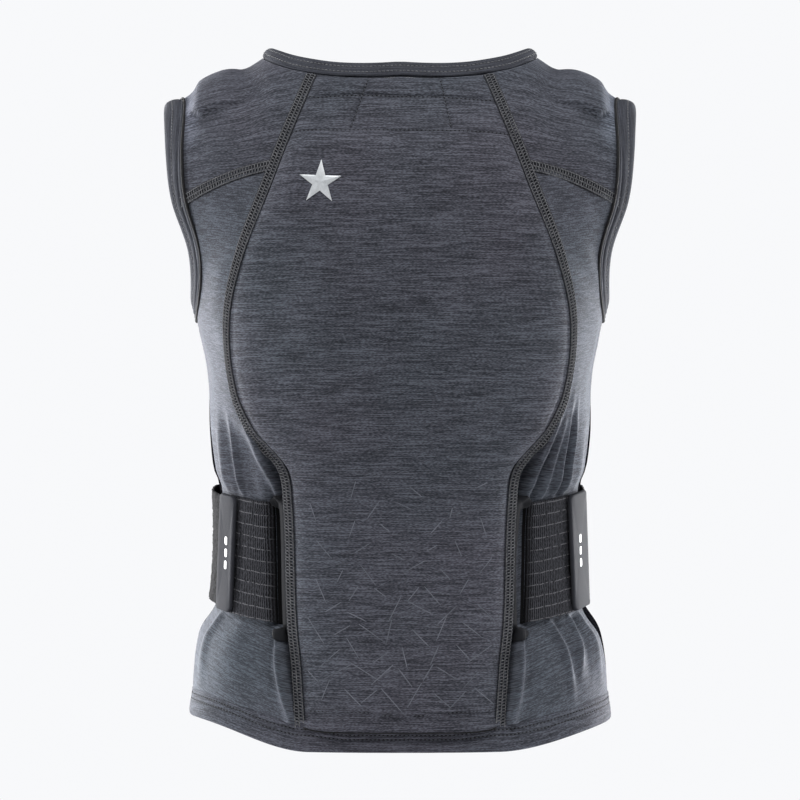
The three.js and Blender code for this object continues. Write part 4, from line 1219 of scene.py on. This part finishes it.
def front_places(mirror):
    zip_edge = ZIP["half"] + 2 * EDGE_GAP
    collar = neck_point(np.array(COLLAR_ANGLE), NECK)[2] - EDGE_GAP
    row = np.linspace(0, ROW["front_top"], FRONT_GRID["rows"])[:, None]
    up = row / ROW["front_top"]
    aside = np.linspace(0, 1, FRONT_GRID["columns"])[None, :]
    heights = [HEM["front"] + HEM["height"], under_belt(math.pi), over_belt(math.pi), collar]
    zip_height = row_height(row, "bottom belt over_belt front_neck", heights)
    start_on_neck = math.pi - math.asin((zip_edge / NECK["half"]) ** (NECK["front_power"] / 2))
    share = np.clip((row - ROW["front_neck"]) / (ROW["front_top"] - ROW["front_neck"]), 0, 1)
    on_neck = neck_point(lerp(start_on_neck, YOKE_NECK_ANGLE, share), NECK)
    above = row > ROW["front_neck"]
    end = np.where(above, angle_of(on_neck), angle_of(front_point(zip_edge + 0 * row, zip_height)))
    end_height = np.where(above, on_neck[..., 2] - EDGE_GAP, zip_height)
    arm_end = FULL_TURN + YOKE_FRONT_ANGLE
    start, start_height = outer_edge(row, ROW["front_top"], ARMPIT_ANGLE, arm_end, mirror)
    angle = lerp(start + FRONT_GAP, end, aside)
    straight = lerp(side_bottom(mirror), HEM["front"] + HEM["height"], aside)
    hem = (hem_around(angle, mirror) + HEM["height"] + EDGE_GAP - straight) * (1 - up) ** EDGE_BEND["hem"]
    top = 2 * EDGE_GAP * up ** EDGE_BEND["top"]
    return around_point(angle, lerp(start_height, end_height, aside) + hem - top)


def front_panel(side, mirror):
    places = front_places(mirror)
    across = arc_lengths(places)
    z = places[..., 2]
    end = across[:, -1:]
    inside = plateau(across, WAVE_EDGE["start"], WAVE_EDGE["front"], end - WAVE_EDGE["zip"], end)
    off = puff_at(angle_of(places), z) + inside * waves("front", across, z, mirror)
    cloth = joined(across, z)
    piece = wall("front_panel_plain_" + side, places, off - CLOTH, off + CLOTH, cloth, front_jersey, mirror)
    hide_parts("front_panel_" + side)


def front_zip():
    top = neck_point(np.array(math.pi), NECK_EDGE)[2] - 1
    x = np.linspace(ZIP["half"], -ZIP["half"], ZIP["columns"])[None, :]
    z = np.linspace(HEM["front"] + 1, top, ZIP["rows"])[:, None]
    places = front_point(x + 0 * z, z + 0 * x)
    off = puff_at(np.array(math.pi), z) + 0 * x
    fold = ZIP_FOLD["rise"] * bell(np.abs(x) - ZIP_FOLD["place"], ZIP_FOLD["half"])
    high = off + ZIP["high"] + fold - ZIP_GROOVE["depth"] * bell(x, ZIP_GROOVE["half"])
    cloth = joined(z, x)
    piece = wall("front_zip_tape", places, off + ZIP["low"], high, cloth, zip_tape)
    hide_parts("front_zip")
    behind = front_point(ZIP_FACING["wider"] * x + 0 * z, z + 0 * x)
    low = off + ZIP_FACING["low"]
    high = off + ZIP_FACING["high"]
    piece = wall("front_zip_facing", behind, low, high, cloth, zip_tape)
    kept = slice(ZIP_COIL["inset"], -ZIP_COIL["inset"])
    track = Track(places[kept, ZIP["columns"] // 2], off[kept, 0] + ZIP_COIL["height"])
    pitch = ZIP_COIL["pitch"]
    share = LADDER["share"]
    along = (np.arange(int(track.length / pitch)) * pitch)[:, None] + ZIP_COIL["slant"] * share
    points, outs = track.place(along, ZIP_COIL["wide"] * share, ZIP_COIL["bow"] * (1 - 4 * share ** 2))
    coil = thread_object("zip_coil", [tubes(points, outs, ZIP_COIL["half"], ZIP_COIL["tall"])], slot_film)


# The yokes with their shoulder pads.
YOKE_GRID = dict(columns=93, rows=151)
YOKE_CLOTH = dict(climb=0.4, turn=58)  # how its courses run over the shoulder
YOKE_TURN = 75  # radius that turns its tilt into a length
# Soft creases on the back of each yoke: two ends by x and z, rise and half width.
YOKE_CREASES = ((121, -32, 106, -58, 1.1, 4), (84, 2, 70, -22, 0.8, 2.6), (90, -4, 80, -28, -0.8, 3))
CREASE_SPAN = (-0.2, 0.3, 0.6, 1.2)  # shares of its length where a crease starts and ends


def yoke_places():
    def chart(points):
        return np.stack([points[..., 0], tilt_of(points)], -1)

    aside = np.linspace(0, 1, YOKE_GRID["columns"])
    along = np.linspace(0, 1, YOKE_GRID["rows"])
    seam_x = lerp(yoke_joint[0], yoke_rear_end[0], np.clip(2 * aside - 1, 0, 1))
    seam_z = lerp(SEAM_TOP, yoke_joint[2] + 3 * EDGE_GAP, np.clip(2 * aside, 0, 1))
    along_arm = back_point(seam_x, yoke_seam_at(seam_x) + 3 * EDGE_GAP)
    along_panel = back_point(seam_at(seam_z) + EDGE_GAP, seam_z)
    rear = chart(np.where((aside > 0.5)[:, None], along_arm, along_panel))[None, :]
    front = chart(yoke_front_seam(aside))[None, :]
    neck = chart(neck_point(lerp(NECK_SEAM_ANGLE, YOKE_NECK_ANGLE, along), NECK))[:, None]
    arm = chart(armhole_point(lerp(YOKE_REAR_ANGLE, YOKE_FRONT_ANGLE, along), ARMHOLE))[:, None]
    aside = aside[None, :, None]
    along = along[:, None, None]
    edges = lerp(rear, front, along) + lerp(neck, arm, aside)
    ends = [lerp(line[:, :1], line[:, -1:], aside) for line in (rear, front)]
    x, tilt = np.moveaxis(edges - lerp(*ends, along), -1, 0)
    return over_point(x, tilt)


def yoke(side, mirror):
    places = yoke_places()
    x = places[..., 0]
    z = places[..., 2]
    tilt = tilt_of(places)
    climb = np.where(tilt < 0, z, 2 * ridge_at(x) - z)
    cloth = joined(x, YOKE_CLOTH["climb"] * climb + YOKE_CLOTH["turn"] * tilt)
    high = CLOTH + shoulder_pad(x, tilt) + waves("yoke", x, tilt * YOKE_TURN, mirror)
    for from_x, from_z, to_x, to_z, rise, width in YOKE_CREASES:
        reach = np.array([to_x - from_x, to_z - from_z])
        span = np.dot(reach, reach)
        along = ((x - from_x) * reach[0] + (z - from_z) * reach[1]) / span
        across = ((x - from_x) * reach[1] - (z - from_z) * reach[0]) / math.sqrt(span)
        high = high + rise * plateau(along, *CREASE_SPAN) * (tilt < 0) * bell(across, width)
    piece = wall("yoke_padded_" + side, places, -CLOTH, high, cloth, yoke_jersey, mirror)
    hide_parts("yoke_" + side)


# Folded tapes round the neck and the armholes, and the turned hem.
NECK_RING = dict(end=0.042, sections=420)  # the neck tape stops beside the zip
ARM_RING = dict(start=4 * DEG, sections=340)
NECK_STITCHES = dict(shares=(0.3, 0.66), height=1.45, radius=0.46)
ARM_STITCHES = dict(share=0.38, height=1.6)
ARM_SHADE_LINE = dict(beyond=0.9, height=1.1, radius=0.95)  # near-black line beside the armhole tape, on the panels: painted shade
SWELL = 0.55  # share of a tape where its roll is highest
# Outline of a tape: share of the way from its seam to its free edge, and height off the form.
NECK_TAPE = table("share height", [
    (0.05, -1.3), (0.04, 0.7), (0.1, 1.35), (0.2, 1.6), (0.3, 1.3), (0.4, 1.75), (0.55, 1.8), (0.66, 1.4),
    (0.76, 1.75), (0.9, 1.5), (0.98, 0.9), (1.02, 0), (0.98, -0.9), (0.85, -1.3), (0.45, -1.3),
])
ARM_TAPE = table("share height", [
    (-1, 0.3), (-0.99, 1.1), (-0.86, 1.7), (-0.66, 1.85), (-0.48, 1.5), (-0.38, 0.35), (-0.28, 1.5),
    (0.05, 1.9), (0.28, 1.8), (0.38, 1.45), (0.48, 1.8), (0.7, 1.95), (0.88, 1.7), (0.98, 1.1), (1.02, 0),
    (0.96, -1), (0.8, -1.3), (0.3, -1.3), (-0.1, 0.2),
])


def swell(share):
    """How much of a tape's roll there is between its seam, 0, and its free edge, 1."""
    return np.clip(1 - ((share - SWELL) / SWELL) ** 2, 0, 1)


def tape_ring(name, seam, edge, outline, roll, lap, closed, mirror=1):
    """A folded tape from a seam to its free edge; lap is its reach over the panels, in millimetres."""
    width = np.linalg.norm(edge - seam, axis=1)[:, None]
    share = outline["share"][None, :]
    share = np.where(share < 0, share * lap[:, None] / width, share)
    out = unit(lerp(normal_at(seam)[:, None], normal_at(edge)[:, None], share[..., None]))
    upper = np.where(outline["height"] > 0, swell(share), 0)
    height = outline["height"] + roll[:, None] * upper
    sections = lerp(seam[:, None], edge[:, None], share[..., None]) + out * height[..., None]
    cloth = joined(distances(seam)[:, None], share * width)
    return loft(name, sections, cloth, binding_tape, closed, mirror)


def tape_track(seam, edge, share, height, roll):
    middle = lerp(seam, edge, share)
    out = unit(lerp(normal_at(seam), normal_at(edge), share))
    return Track(middle, height + roll * np.ravel(swell(share)), out)


def neck_binding():
    half = math.pi - NECK_RING["end"]
    angle = np.linspace(-half, half, NECK_RING["sections"])
    seam = neck_point(angle, NECK)
    edge = neck_point(angle, NECK_EDGE)
    edge = lerp(edge, seam, CORNER["neck"] * np.sin(angle)[:, None] ** CORNER["neck_fade"])
    roll = ROLL["neck"] * np.sin(angle) ** ROLL["neck_fade"]
    piece = tape_ring("neck_binding_folded", seam, edge, NECK_TAPE, roll, 0 * angle, False)
    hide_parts("neck_binding")
    rows = []
    for share in NECK_STITCHES["shares"]:
        track = tape_track(seam, edge, share, NECK_STITCHES["height"], roll)
        rows.append(stitch_row(track, radius=NECK_STITCHES["radius"]))
    stitches = thread_object("neck_stitches", rows, grey_thread)


def armhole_binding(side, mirror):
    angle = np.linspace(0, FULL_TURN, ARM_RING["sections"], endpoint=False) + ARM_RING["start"]
    seam = armhole_point(angle, ARMHOLE)
    edge = armhole_point(angle, ARMHOLE_EDGE)
    upward = np.maximum(np.cos(angle), 0)
    edge = lerp(edge, seam, CORNER["arm"] * upward[:, None] ** CORNER["arm_fade"])
    roll = ROLL["arm"] * upward ** ROLL["arm_fade"]
    turn = np.abs(np.arctan2(np.sin(angle), np.cos(angle)))
    lap = np.interp(turn, [0, math.pi / 2, math.pi], ARM_LAP)
    piece = tape_ring("armhole_binding_folded_" + side, seam, edge, ARM_TAPE, roll, lap, True, mirror)
    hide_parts("armhole_binding_" + side)
    ring = np.arange(len(angle) + 1) % len(angle)
    width = np.linalg.norm(edge - seam, axis=1)
    share = -(lap + ARM_SHADE_LINE["beyond"]) / width
    beside = tape_track(seam[ring], edge[ring], share[ring, None], ARM_SHADE_LINE["height"], 0)
    arm_shade_line = shade_tube("armhole_painted_shade_" + side, beside.line, beside.out, ARM_SHADE_LINE["radius"], mirror)
    track = tape_track(seam[ring], edge[ring], ARM_STITCHES["share"], ARM_STITCHES["height"], roll[ring])
    stitches = thread_object("armhole_stitches_" + side, [stitch_row(track)], grey_thread, mirror)


HEM_RING = dict(end=0.023, sections=520, stitches=0.9)
HEM_ROWS = (9.4, 12.6)  # heights of the two stitch rows over the hem's edge, where its stretch is 1
HEM_STRETCH = dict(back=0.84, side=1.07, start=0.24, end=0.44)  # the hem is deeper at the sides
HEM_OUTLINE = table("height off", [
    (16.2, -1.2), (16.2, 0.9), (14.8, 1.35), (13.4, 1.25), (12.6, 0.7), (11.8, 1.25), (10.2, 1.25),
    (9.4, 0.7), (8.6, 1.3), (6, 1.5), (2.5, 1.5), (1, 1.25), (0.2, 0.7), (0, 0), (0.2, -0.7), (1.5, -1.2),
    (8, -1.2),
])


def hem_point(angle, height):
    across = np.abs(signed_power(np.sin(angle), 2 / SQUARENESS))
    wider = smoothstep(across, HEM_STRETCH["start"], HEM_STRETCH["end"])
    stretch = lerp(HEM_STRETCH["back"], HEM_STRETCH["side"], np.where(np.cos(angle) > 0, wider, 1))
    return around_point(angle, hem_around(angle) + height * stretch)


def hem_band():
    half = math.pi - HEM_RING["end"]
    angle = np.linspace(-half, half, HEM_RING["sections"])
    base = hem_point(angle[:, None], HEM_OUTLINE["height"][None, :])
    sections = base + normal_at(base) * HEM_OUTLINE["off"][None, :, None]
    cloth = joined(distances(base[:, 0])[:, None], HEM_OUTLINE["height"][None, :])
    piece = loft("hem_band_turned", sections, cloth, hem_jersey, False)
    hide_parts("hem_band")
    tracks = [Track(hem_point(angle, height), HEM_RING["stitches"]) for height in HEM_ROWS]
    pricked_rows("hem_rows", tracks)


# Flat seams of the back, and the sewn lines on it.
SEAM_SINK = dict(most=1.6, beside=4)  # how far a seam's outer edge goes down to the cloth beside it
SEAM_SECTIONS = dict(back=420, yoke=120)
YOKE_SEAM_START = 2
QUILT_ROWS = ((quilt_high, 58), (quilt_low, 65), (pad_foot, 54))  # lines across the panel, and their reach
QUILT_RISE = (-38, -7)  # heights between which the slanted lines are sewn
QUILT_TRACK = dict(across=160, slanted=60, off=0.2)


def back_seam(side, mirror):
    z = np.linspace(SEAM_BOTTOM - 1, SEAM_TOP - 1, SEAM_SECTIONS["back"])
    edge = pad_out(seam_at(z), z)
    beyond = side_cloth(side, back_point(seam_at(z) + SEAM_SINK["beside"], z)) + CLOTH
    drop = np.clip(edge - np.where(z > YOKE_HEIGHT, CLOTH, beyond), 0, SEAM_SINK["most"])
    track = Track(back_point(seam_at(z), z), edge)
    flat_seam("back_seam", side, mirror, track, SEAM_SECTIONS["back"], drop)


def yoke_seam(side, mirror):
    x = np.linspace(yoke_joint[0] + YOKE_SEAM_START, yoke_rear_end[0], SEAM_SECTIONS["yoke"])
    track = Track(back_point(x, yoke_seam_at(x) + EDGE_GAP), CLOTH)
    flat_seam("yoke_seam", side, mirror, track, SEAM_SECTIONS["yoke"])


def quilt_stitches():
    lines = []
    for line, reach in QUILT_ROWS:
        x = np.linspace(-reach, reach, QUILT_TRACK["across"])
        lines.append((x, line(x)))
    for line in (quilt_left, quilt_right):
        z = np.linspace(*QUILT_RISE, QUILT_TRACK["slanted"])
        lines.append((line(z), z))
    tracks = [Track(back_point(x, z), panel_top(x, z) + QUILT_TRACK["off"]) for x, z in lines]
    pricked_rows("quilt_rows", tracks)


def panel_shadow_line():
    """A near-black line along the back panel's lower edge, on the hem: painted shadow under that edge."""
    share = np.linspace(-PANEL_SHADOW_LINE["share"], PANEL_SHADOW_LINE["share"], PANEL_SHADOW_LINE["points"])
    x = share * seam_at(SEAM_BOTTOM)
    at = back_point(x, panel_foot(x) - PANEL_SHADOW_LINE["below"])
    out = normal_at(at)
    piece = shade_tube("panel_painted_shadow", at + out * PANEL_SHADOW_LINE["height"], out, PANEL_SHADOW_LINE["half"])


# The belt: straps, front band, tabs and the film round each slot.
def strap_places(side):
    aside = np.linspace(0, 1, STRAP_GRID["columns"])[None, :]
    up = np.linspace(-0.5, 0.5, STRAP_GRID["rows"])[:, None] * BELT["height"]
    z = BELT["slot"] + up
    start = angle_of(back_point(seam_at(z) + STRAP_START[side], z))
    angle = lerp(start, STRAP["end"], aside)
    return around_point(angle, belt_at(angle) + up)


def belt_strap(side, mirror):
    places = strap_places(side)
    along = arc_lengths(places)
    up = places[..., 2] - belt_at(angle_of(places))
    uneven = STRAP_SWAY["uneven"] * ripple(along, up, STRAP_SWAY["length"], STRAP_SWAY["seed"])
    along = along + STRAP_SWAY["reach"] * np.sin(FULL_TURN * up / STRAP_SWAY["height"] + uneven)
    ribs = STRAP_RIB["depth"] * np.cos(FULL_TURN * along / STRAP_RIB["pitch"])
    half = STRAP_PICK["pitch"] / 2
    picks = STRAP_PICK["rise"] * bell(np.mod(up + half, STRAP_PICK["pitch"]) - half, STRAP_PICK["half"])
    dip = dip_at(side, places)
    high = STRAP["high"] - dip + ribs + picks + waves("strap", along, up, mirror)
    low = STRAP["low"] - dip
    piece = wall("belt_strap_ribbed_" + side, places, low, high, joined(along, up), elastic, mirror)
    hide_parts("belt_strap_" + side)


BAND_SLACK = dict(place=272 * DEG, wide=20 * DEG, height=2.4)  # where the band stands off beside the tab


def belt_front():
    angle = np.linspace(FRONT_BAND["start"], FRONT_BAND["end"], FRONT_BAND["columns"])[None, :]
    up = np.linspace(-0.5, 0.5, FRONT_BAND["rows"])[:, None] * FRONT_BAND["height"]
    places = around_point(angle + 0 * up, belt_at(angle) + up)
    along = arc_lengths(places)
    pile = BAND_PILE["height"] * np.random.default_rng(BAND_PILE["seed"]).uniform(-1, 1, along.shape)
    slack = BAND_SLACK["height"] * bell(angle - BAND_SLACK["place"], BAND_SLACK["wide"])
    low = FRONT_BAND["low"] + slack
    high = FRONT_BAND["high"] + slack + pile
    piece = wall("belt_front_looped", places, low, high, joined(along, up), loop_band)
    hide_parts("belt_front")


CORNER_POINTS = 8
RIM_TURNS = np.linspace(0, 90, 5) * DEG
UNDER_RINGS = (0.02, 0.5, 1)  # shares of a plate's size, on its underside and on its top
TOP_RINGS = (0.8, 0.6, 0.4, 0.2, 0.02)


def rounded_outline(half_wide, half_tall, radius):
    """A rectangle with round corners, as points round its middle."""
    points = []
    for x, y, start in ((1, 1, 0), (-1, 1, 90), (-1, -1, 180), (1, -1, 270)):
        for angle in np.linspace(start, start + 90, CORNER_POINTS) * DEG:
            points.append((
                x * (half_wide - radius) + radius * math.cos(angle),
                y * (half_tall - radius) + radius * math.sin(angle),
            ))
    return np.array(points)


def slab(name, outline, place, low, high, bevel, material, mirror=1, peak=0.0):
    """A plate with a rounded rim: place(points, height) sets points of its plan on the form."""
    span = np.abs(outline).max(axis=0)
    rings = [place(outline * share, low) for share in UNDER_RINGS]
    for turn in RIM_TURNS:
        shrink = 1 - bevel * (1 - math.cos(turn)) / span
        rings.append(place(outline * shrink, high - bevel * (1 - math.sin(turn))))
    inner = outline * (1 - bevel / span)
    for share in TOP_RINGS:
        rings.append(place(inner * share, high + peak * (1 - share)))
    sections = np.stack(rings)
    cloth = np.stack([outline] * len(rings))
    return loft(name, sections, cloth, material, False, mirror)


TAB_EDGE = dict(corner=3.2, bevel=0.9)
TAB_MARKS = (-7.5, 0, 7.5)  # heights of the plain bars on each tab
TAB_BAR = dict(half_wide=1.3, half_tall=2.6, radius=1.1)
TAB_BAR_RISE = dict(low=-0.3, high=0.25, bevel=0.2)


def belt_tab(side, mirror):
    start, end = TAB_PLACE[side]
    middle = (start + end) / 2
    z = float(belt_at(middle))
    width = float(np.linalg.norm(around_point(start, z) - around_point(end, z)))

    def place(plan, height):
        angle = middle + plan[:, 0] / width * (end - start)
        at = around_point(angle, belt_at(angle) + plan[:, 1])
        return at + normal_at(at) * height

    outline = rounded_outline(width / 2, TAB["height"] / 2, TAB_EDGE["corner"])
    name = "belt_tab_moulded_" + side
    piece = slab(name, outline, place, TAB["low"], TAB["high"], TAB_EDGE["bevel"], tab_rubber, mirror)
    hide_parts("belt_tab_" + side)
    bar = rounded_outline(**TAB_BAR)
    low = TAB["high"] + TAB_BAR_RISE["low"]
    high = TAB["high"] + TAB_BAR_RISE["high"]
    bevel = TAB_BAR_RISE["bevel"]
    for number, height in enumerate(TAB_MARKS):
        def place_bar(plan, off, height=height):
            return place(plan + (0, height), off)

        mark = slab(f"tab_bar_{side}_{number}", bar, place_bar, low, high, bevel, white_mark, mirror)


def slot_patch(side, mirror):
    share = np.linspace(0, 1, PATCH_GRID["rows"])[:, None]
    aside = np.linspace(0, 1, PATCH_GRID["columns"])[None, :]
    z = lerp(PATCH["bottom"], PATCH["top"], share)
    ended = np.minimum(share, 1 - share) * (PATCH["top"] - PATCH["bottom"])
    bow = np.clip(2 * ended / PATCH_LOBE["height"] - 1, -1, 1)
    lobe = PATCH_LOBE["reach"] - PATCH_LOBE["round"] * bow * bow
    slim = PATCH[side] + PATCH_BOW[side] * (2 * share - 1) ** 2
    wide = lerp(lobe, slim, smoothstep(ended, *PATCH_LOBE["narrow"])) - PATCH["inner"]
    x = seam_at(z) + PATCH["inner"] + aside * wide
    places = back_point(x, z + 0 * x)
    base = side_cloth(side, places)
    rim = np.minimum(np.minimum(1 - aside, aside + PATCH_RIM["seam"]) * wide, ended)
    high = base + PATCH["high"] - PATCH_RIM["fall"] * np.exp(-rim / PATCH_RIM["half"])
    low = base + PATCH["low"]
    piece = wall("slot_patch_film_" + side, places, low, high, joined(x, z), slot_film, mirror)
    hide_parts("slot_patch_" + side)


def slot_inside(side, mirror):
    """A near-black strip between the film and the strap: painted shade in the slot."""
    half = SLOT_PAINTED_SHADE["share"] * BELT["height"] / 2
    z = np.linspace(-half, half, SLOT_PAINTED_SHADE["rows"])[:, None] + BELT["slot"]
    end = STRAP_START[side] - SLOT_PAINTED_SHADE["gap"]
    away = np.linspace(SLOT_PAINTED_SHADE[side], end, SLOT_PAINTED_SHADE["columns"])[None, :]
    places = back_point(seam_at(z) + away, z + 0 * away)
    base = side_cloth(side, places)
    low = base + SLOT_PAINTED_SHADE["low"]
    high = base + SLOT_PAINTED_SHADE["high"]
    piece = wall("slot_painted_shade_" + side, places, low, high, joined(z, away), slot_painted_shade, mirror)


# The star, and the printed dashes low on the back.
def star_print():
    number = np.arange(2 * STAR["arms"])
    turn = STAR["top"] + number * math.pi / STAR["arms"]
    reach = np.where(number % 2, STAR["inner"], STAR["radius"])
    corners = np.stack([reach * np.cos(turn), reach * np.sin(turn)], -1)
    share = np.linspace(0, 1, STAR["points"], endpoint=False)[None, :, None]
    outline = lerp(corners[:, None], np.roll(corners, -1, axis=0)[:, None], share).reshape(-1, 2)

    def place(plan, height):
        x = STAR["x"] + plan[:, 0]
        z = STAR["z"] + plan[:, 1]
        at = back_point(x, z)
        return at + normal_at(at) * (panel_top(x, z) + height)[:, None]

    piece = slab("star_print_film", outline, place, material=silver, **STAR_RISE)
    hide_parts("star_print")


DASHES = dict(rows=11, low=-378, step=12.5, wide=104, slant=52 * DEG, length=15, seed=8)
DASH_COUNT = (8, 3)  # dashes in the lowest row and above the highest
DASH_CHANCE = dict(aside=0.4, above=0.6, longer=0.8)
DASH_ROW = dict(stagger=0.25, shorter=0.4)
DASH_FILM = dict(half=0.3, tall=0.12, off=0.06, points=7, sides=6)


def printed_dashes():
    """Short pale dashes, thrown loosely in staggered rows that thin out upwards."""
    chance = np.random.default_rng(DASHES["seed"])
    paths, outs = [], []
    share = np.linspace(-0.5, 0.5, DASH_FILM["points"])
    for row in range(DASHES["rows"]):
        fade = row / DASHES["rows"]
        count = round(lerp(*DASH_COUNT, fade))
        for k in range(count):
            aside, above, longer, steeper = chance.uniform(-0.5, 0.5, 4)
            step = k + 0.5 + DASH_ROW["stagger"] * (-1) ** row + DASH_CHANCE["aside"] * aside
            length = 1 - DASH_ROW["shorter"] * fade
            length = DASHES["length"] * length * (1 + DASH_CHANCE["longer"] * longer)
            slant = DASHES["slant"] * (-1) ** (row + k) * (1 + steeper)
            x = (step / count - 0.5) * DASHES["wide"] + share * length * math.cos(slant)
            z = DASHES["low"] + (row + DASH_CHANCE["above"] * above) * DASHES["step"]
            z = z + share * length * math.sin(slant)
            at = back_point(x, z)
            out = normal_at(at)
            paths.append(at + out * (panel_top(x, z) + DASH_FILM["off"])[:, None])
            outs.append(out)
    film = (DASH_FILM["half"], DASH_FILM["tall"], DASH_FILM["sides"])
    group = tubes(np.array(paths), np.array(outs), *film)
    piece = thread_object("print_dashes", [group], print_film)


back_panel()
for side, mirror in SIDES:
    side_panel(side, mirror)
    side_seam_inside(side, mirror)
    front_panel(side, mirror)
    yoke(side, mirror)
    armhole_binding(side, mirror)
    back_seam(side, mirror)
    yoke_seam(side, mirror)
    belt_strap(side, mirror)
    belt_tab(side, mirror)
    slot_patch(side, mirror)
    slot_inside(side, mirror)
front_zip()
neck_binding()
hem_band()
belt_front()
quilt_stitches()
panel_shadow_line()
star_print()
printed_dashes()


# Floor, light and camera.
VIEW = dict(distance=2.2, height=-0.2, wide=0.5, sensor=36)
FLOOR = dict(height=-0.62, radius=1.4, points=96, rough=0.7, cloud=0.4)
FLOOR_TONES = ((0.3, (0.84, 0.845, 0.85, 1)), (0.7, (0.87, 0.875, 0.88, 1)))
WHITE = (0.938, 0.945, 0.962, 1)
FILL = (0.045, 0.3)  # strength of the surroundings' light from below and from above
# The soft lights: place, what they are aimed at, size and power.
LIGHTS = {
    "side_left": ((-1.2, 0.95, -0.28), (-0.1, 0, -0.22), (0.8, 1.5), 86),
    "flank_left": ((-1.7, 0.05, -0.3), (0, 0, -0.3), (0.5, 0.7), 25),
    "side_right": ((1.2, 0.95, -0.52), (0.1, 0, -0.22), (0.8, 1.5), 97),
    "flank_right": ((1.7, 0.05, -0.3), (0, 0, -0.3), (0.5, 0.7), 15),
    "over": ((0, -0.9, 1.5), (0, 0, -0.15), (1.6, 0.8), 50),
}


def floor():
    turn = np.linspace(0, FULL_TURN, FLOOR["points"], endpoint=False)
    rim = np.stack([np.cos(turn), np.sin(turn), 0 * turn], -1) * FLOOR["radius"]
    mesh = bpy.data.meshes.new("floor")
    mesh.from_pydata((rim + (0, 0, FLOOR["height"])).tolist(), [], [list(range(len(rim)))])
    finish = Finish("pale_floor", Roughness=FLOOR["rough"])
    cloud = finish.noise(finish.space(FLOOR["cloud"]), detail=3.0)
    finish.colour(finish.ramp(cloud, FLOOR_TONES))
    mesh.materials.append(finish.material)
    piece = bpy.data.objects.new("floor", mesh)
    bpy.context.collection.objects.link(piece)


def soft_light(name, place, aim, size, power):
    light = bpy.data.lights.new(name, "AREA")
    light.shape = "RECTANGLE"
    light.size, light.size_y = size
    light.energy = power
    lamp = bpy.data.objects.new(name, light)
    bpy.context.collection.objects.link(lamp)
    lamp.location = place
    direction = np.array(aim) - np.array(place)
    flat = math.hypot(direction[0], direction[1])
    heading = math.atan2(direction[1], direction[0]) - math.pi / 2
    lamp.rotation_euler = (math.atan2(flat, -direction[2]), 0, heading)


def studio():
    scene = bpy.context.scene
    world = bpy.data.worlds.new("studio")
    scene.world = world
    world.use_nodes = True
    sky = Nodes(world.node_tree)
    up = sky.part(sky.node("TexCoord").outputs["Generated"], "Z")
    fill = sky.node("Background", {"Color": WHITE, "Strength": sky.span(up, -1, 1, *FILL)})
    seen = sky.node("Background", {"Color": WHITE})
    straight = sky.node("LightPath").outputs["Is Camera Ray"]
    mixed = sky.node("MixShader", {0: straight, 1: fill.outputs[0], 2: seen.outputs[0]})
    sky.put(mixed.outputs[0], sky.tree.nodes["World Output"].inputs["Surface"])
    for name, light in LIGHTS.items():
        soft_light(name, *light)
    scene.view_settings.view_transform = "Standard"
    camera = bpy.data.cameras.new("camera")
    camera.sensor_width = VIEW["sensor"]
    camera.lens = VIEW["sensor"] * VIEW["distance"] / VIEW["wide"]
    eye = bpy.data.objects.new("camera", camera)
    bpy.context.collection.objects.link(eye)
    eye.location = (0, -VIEW["distance"], VIEW["height"])
    eye.rotation_euler = (math.pi / 2, 0, 0)
    scene.camera = eye


floor()
studio()
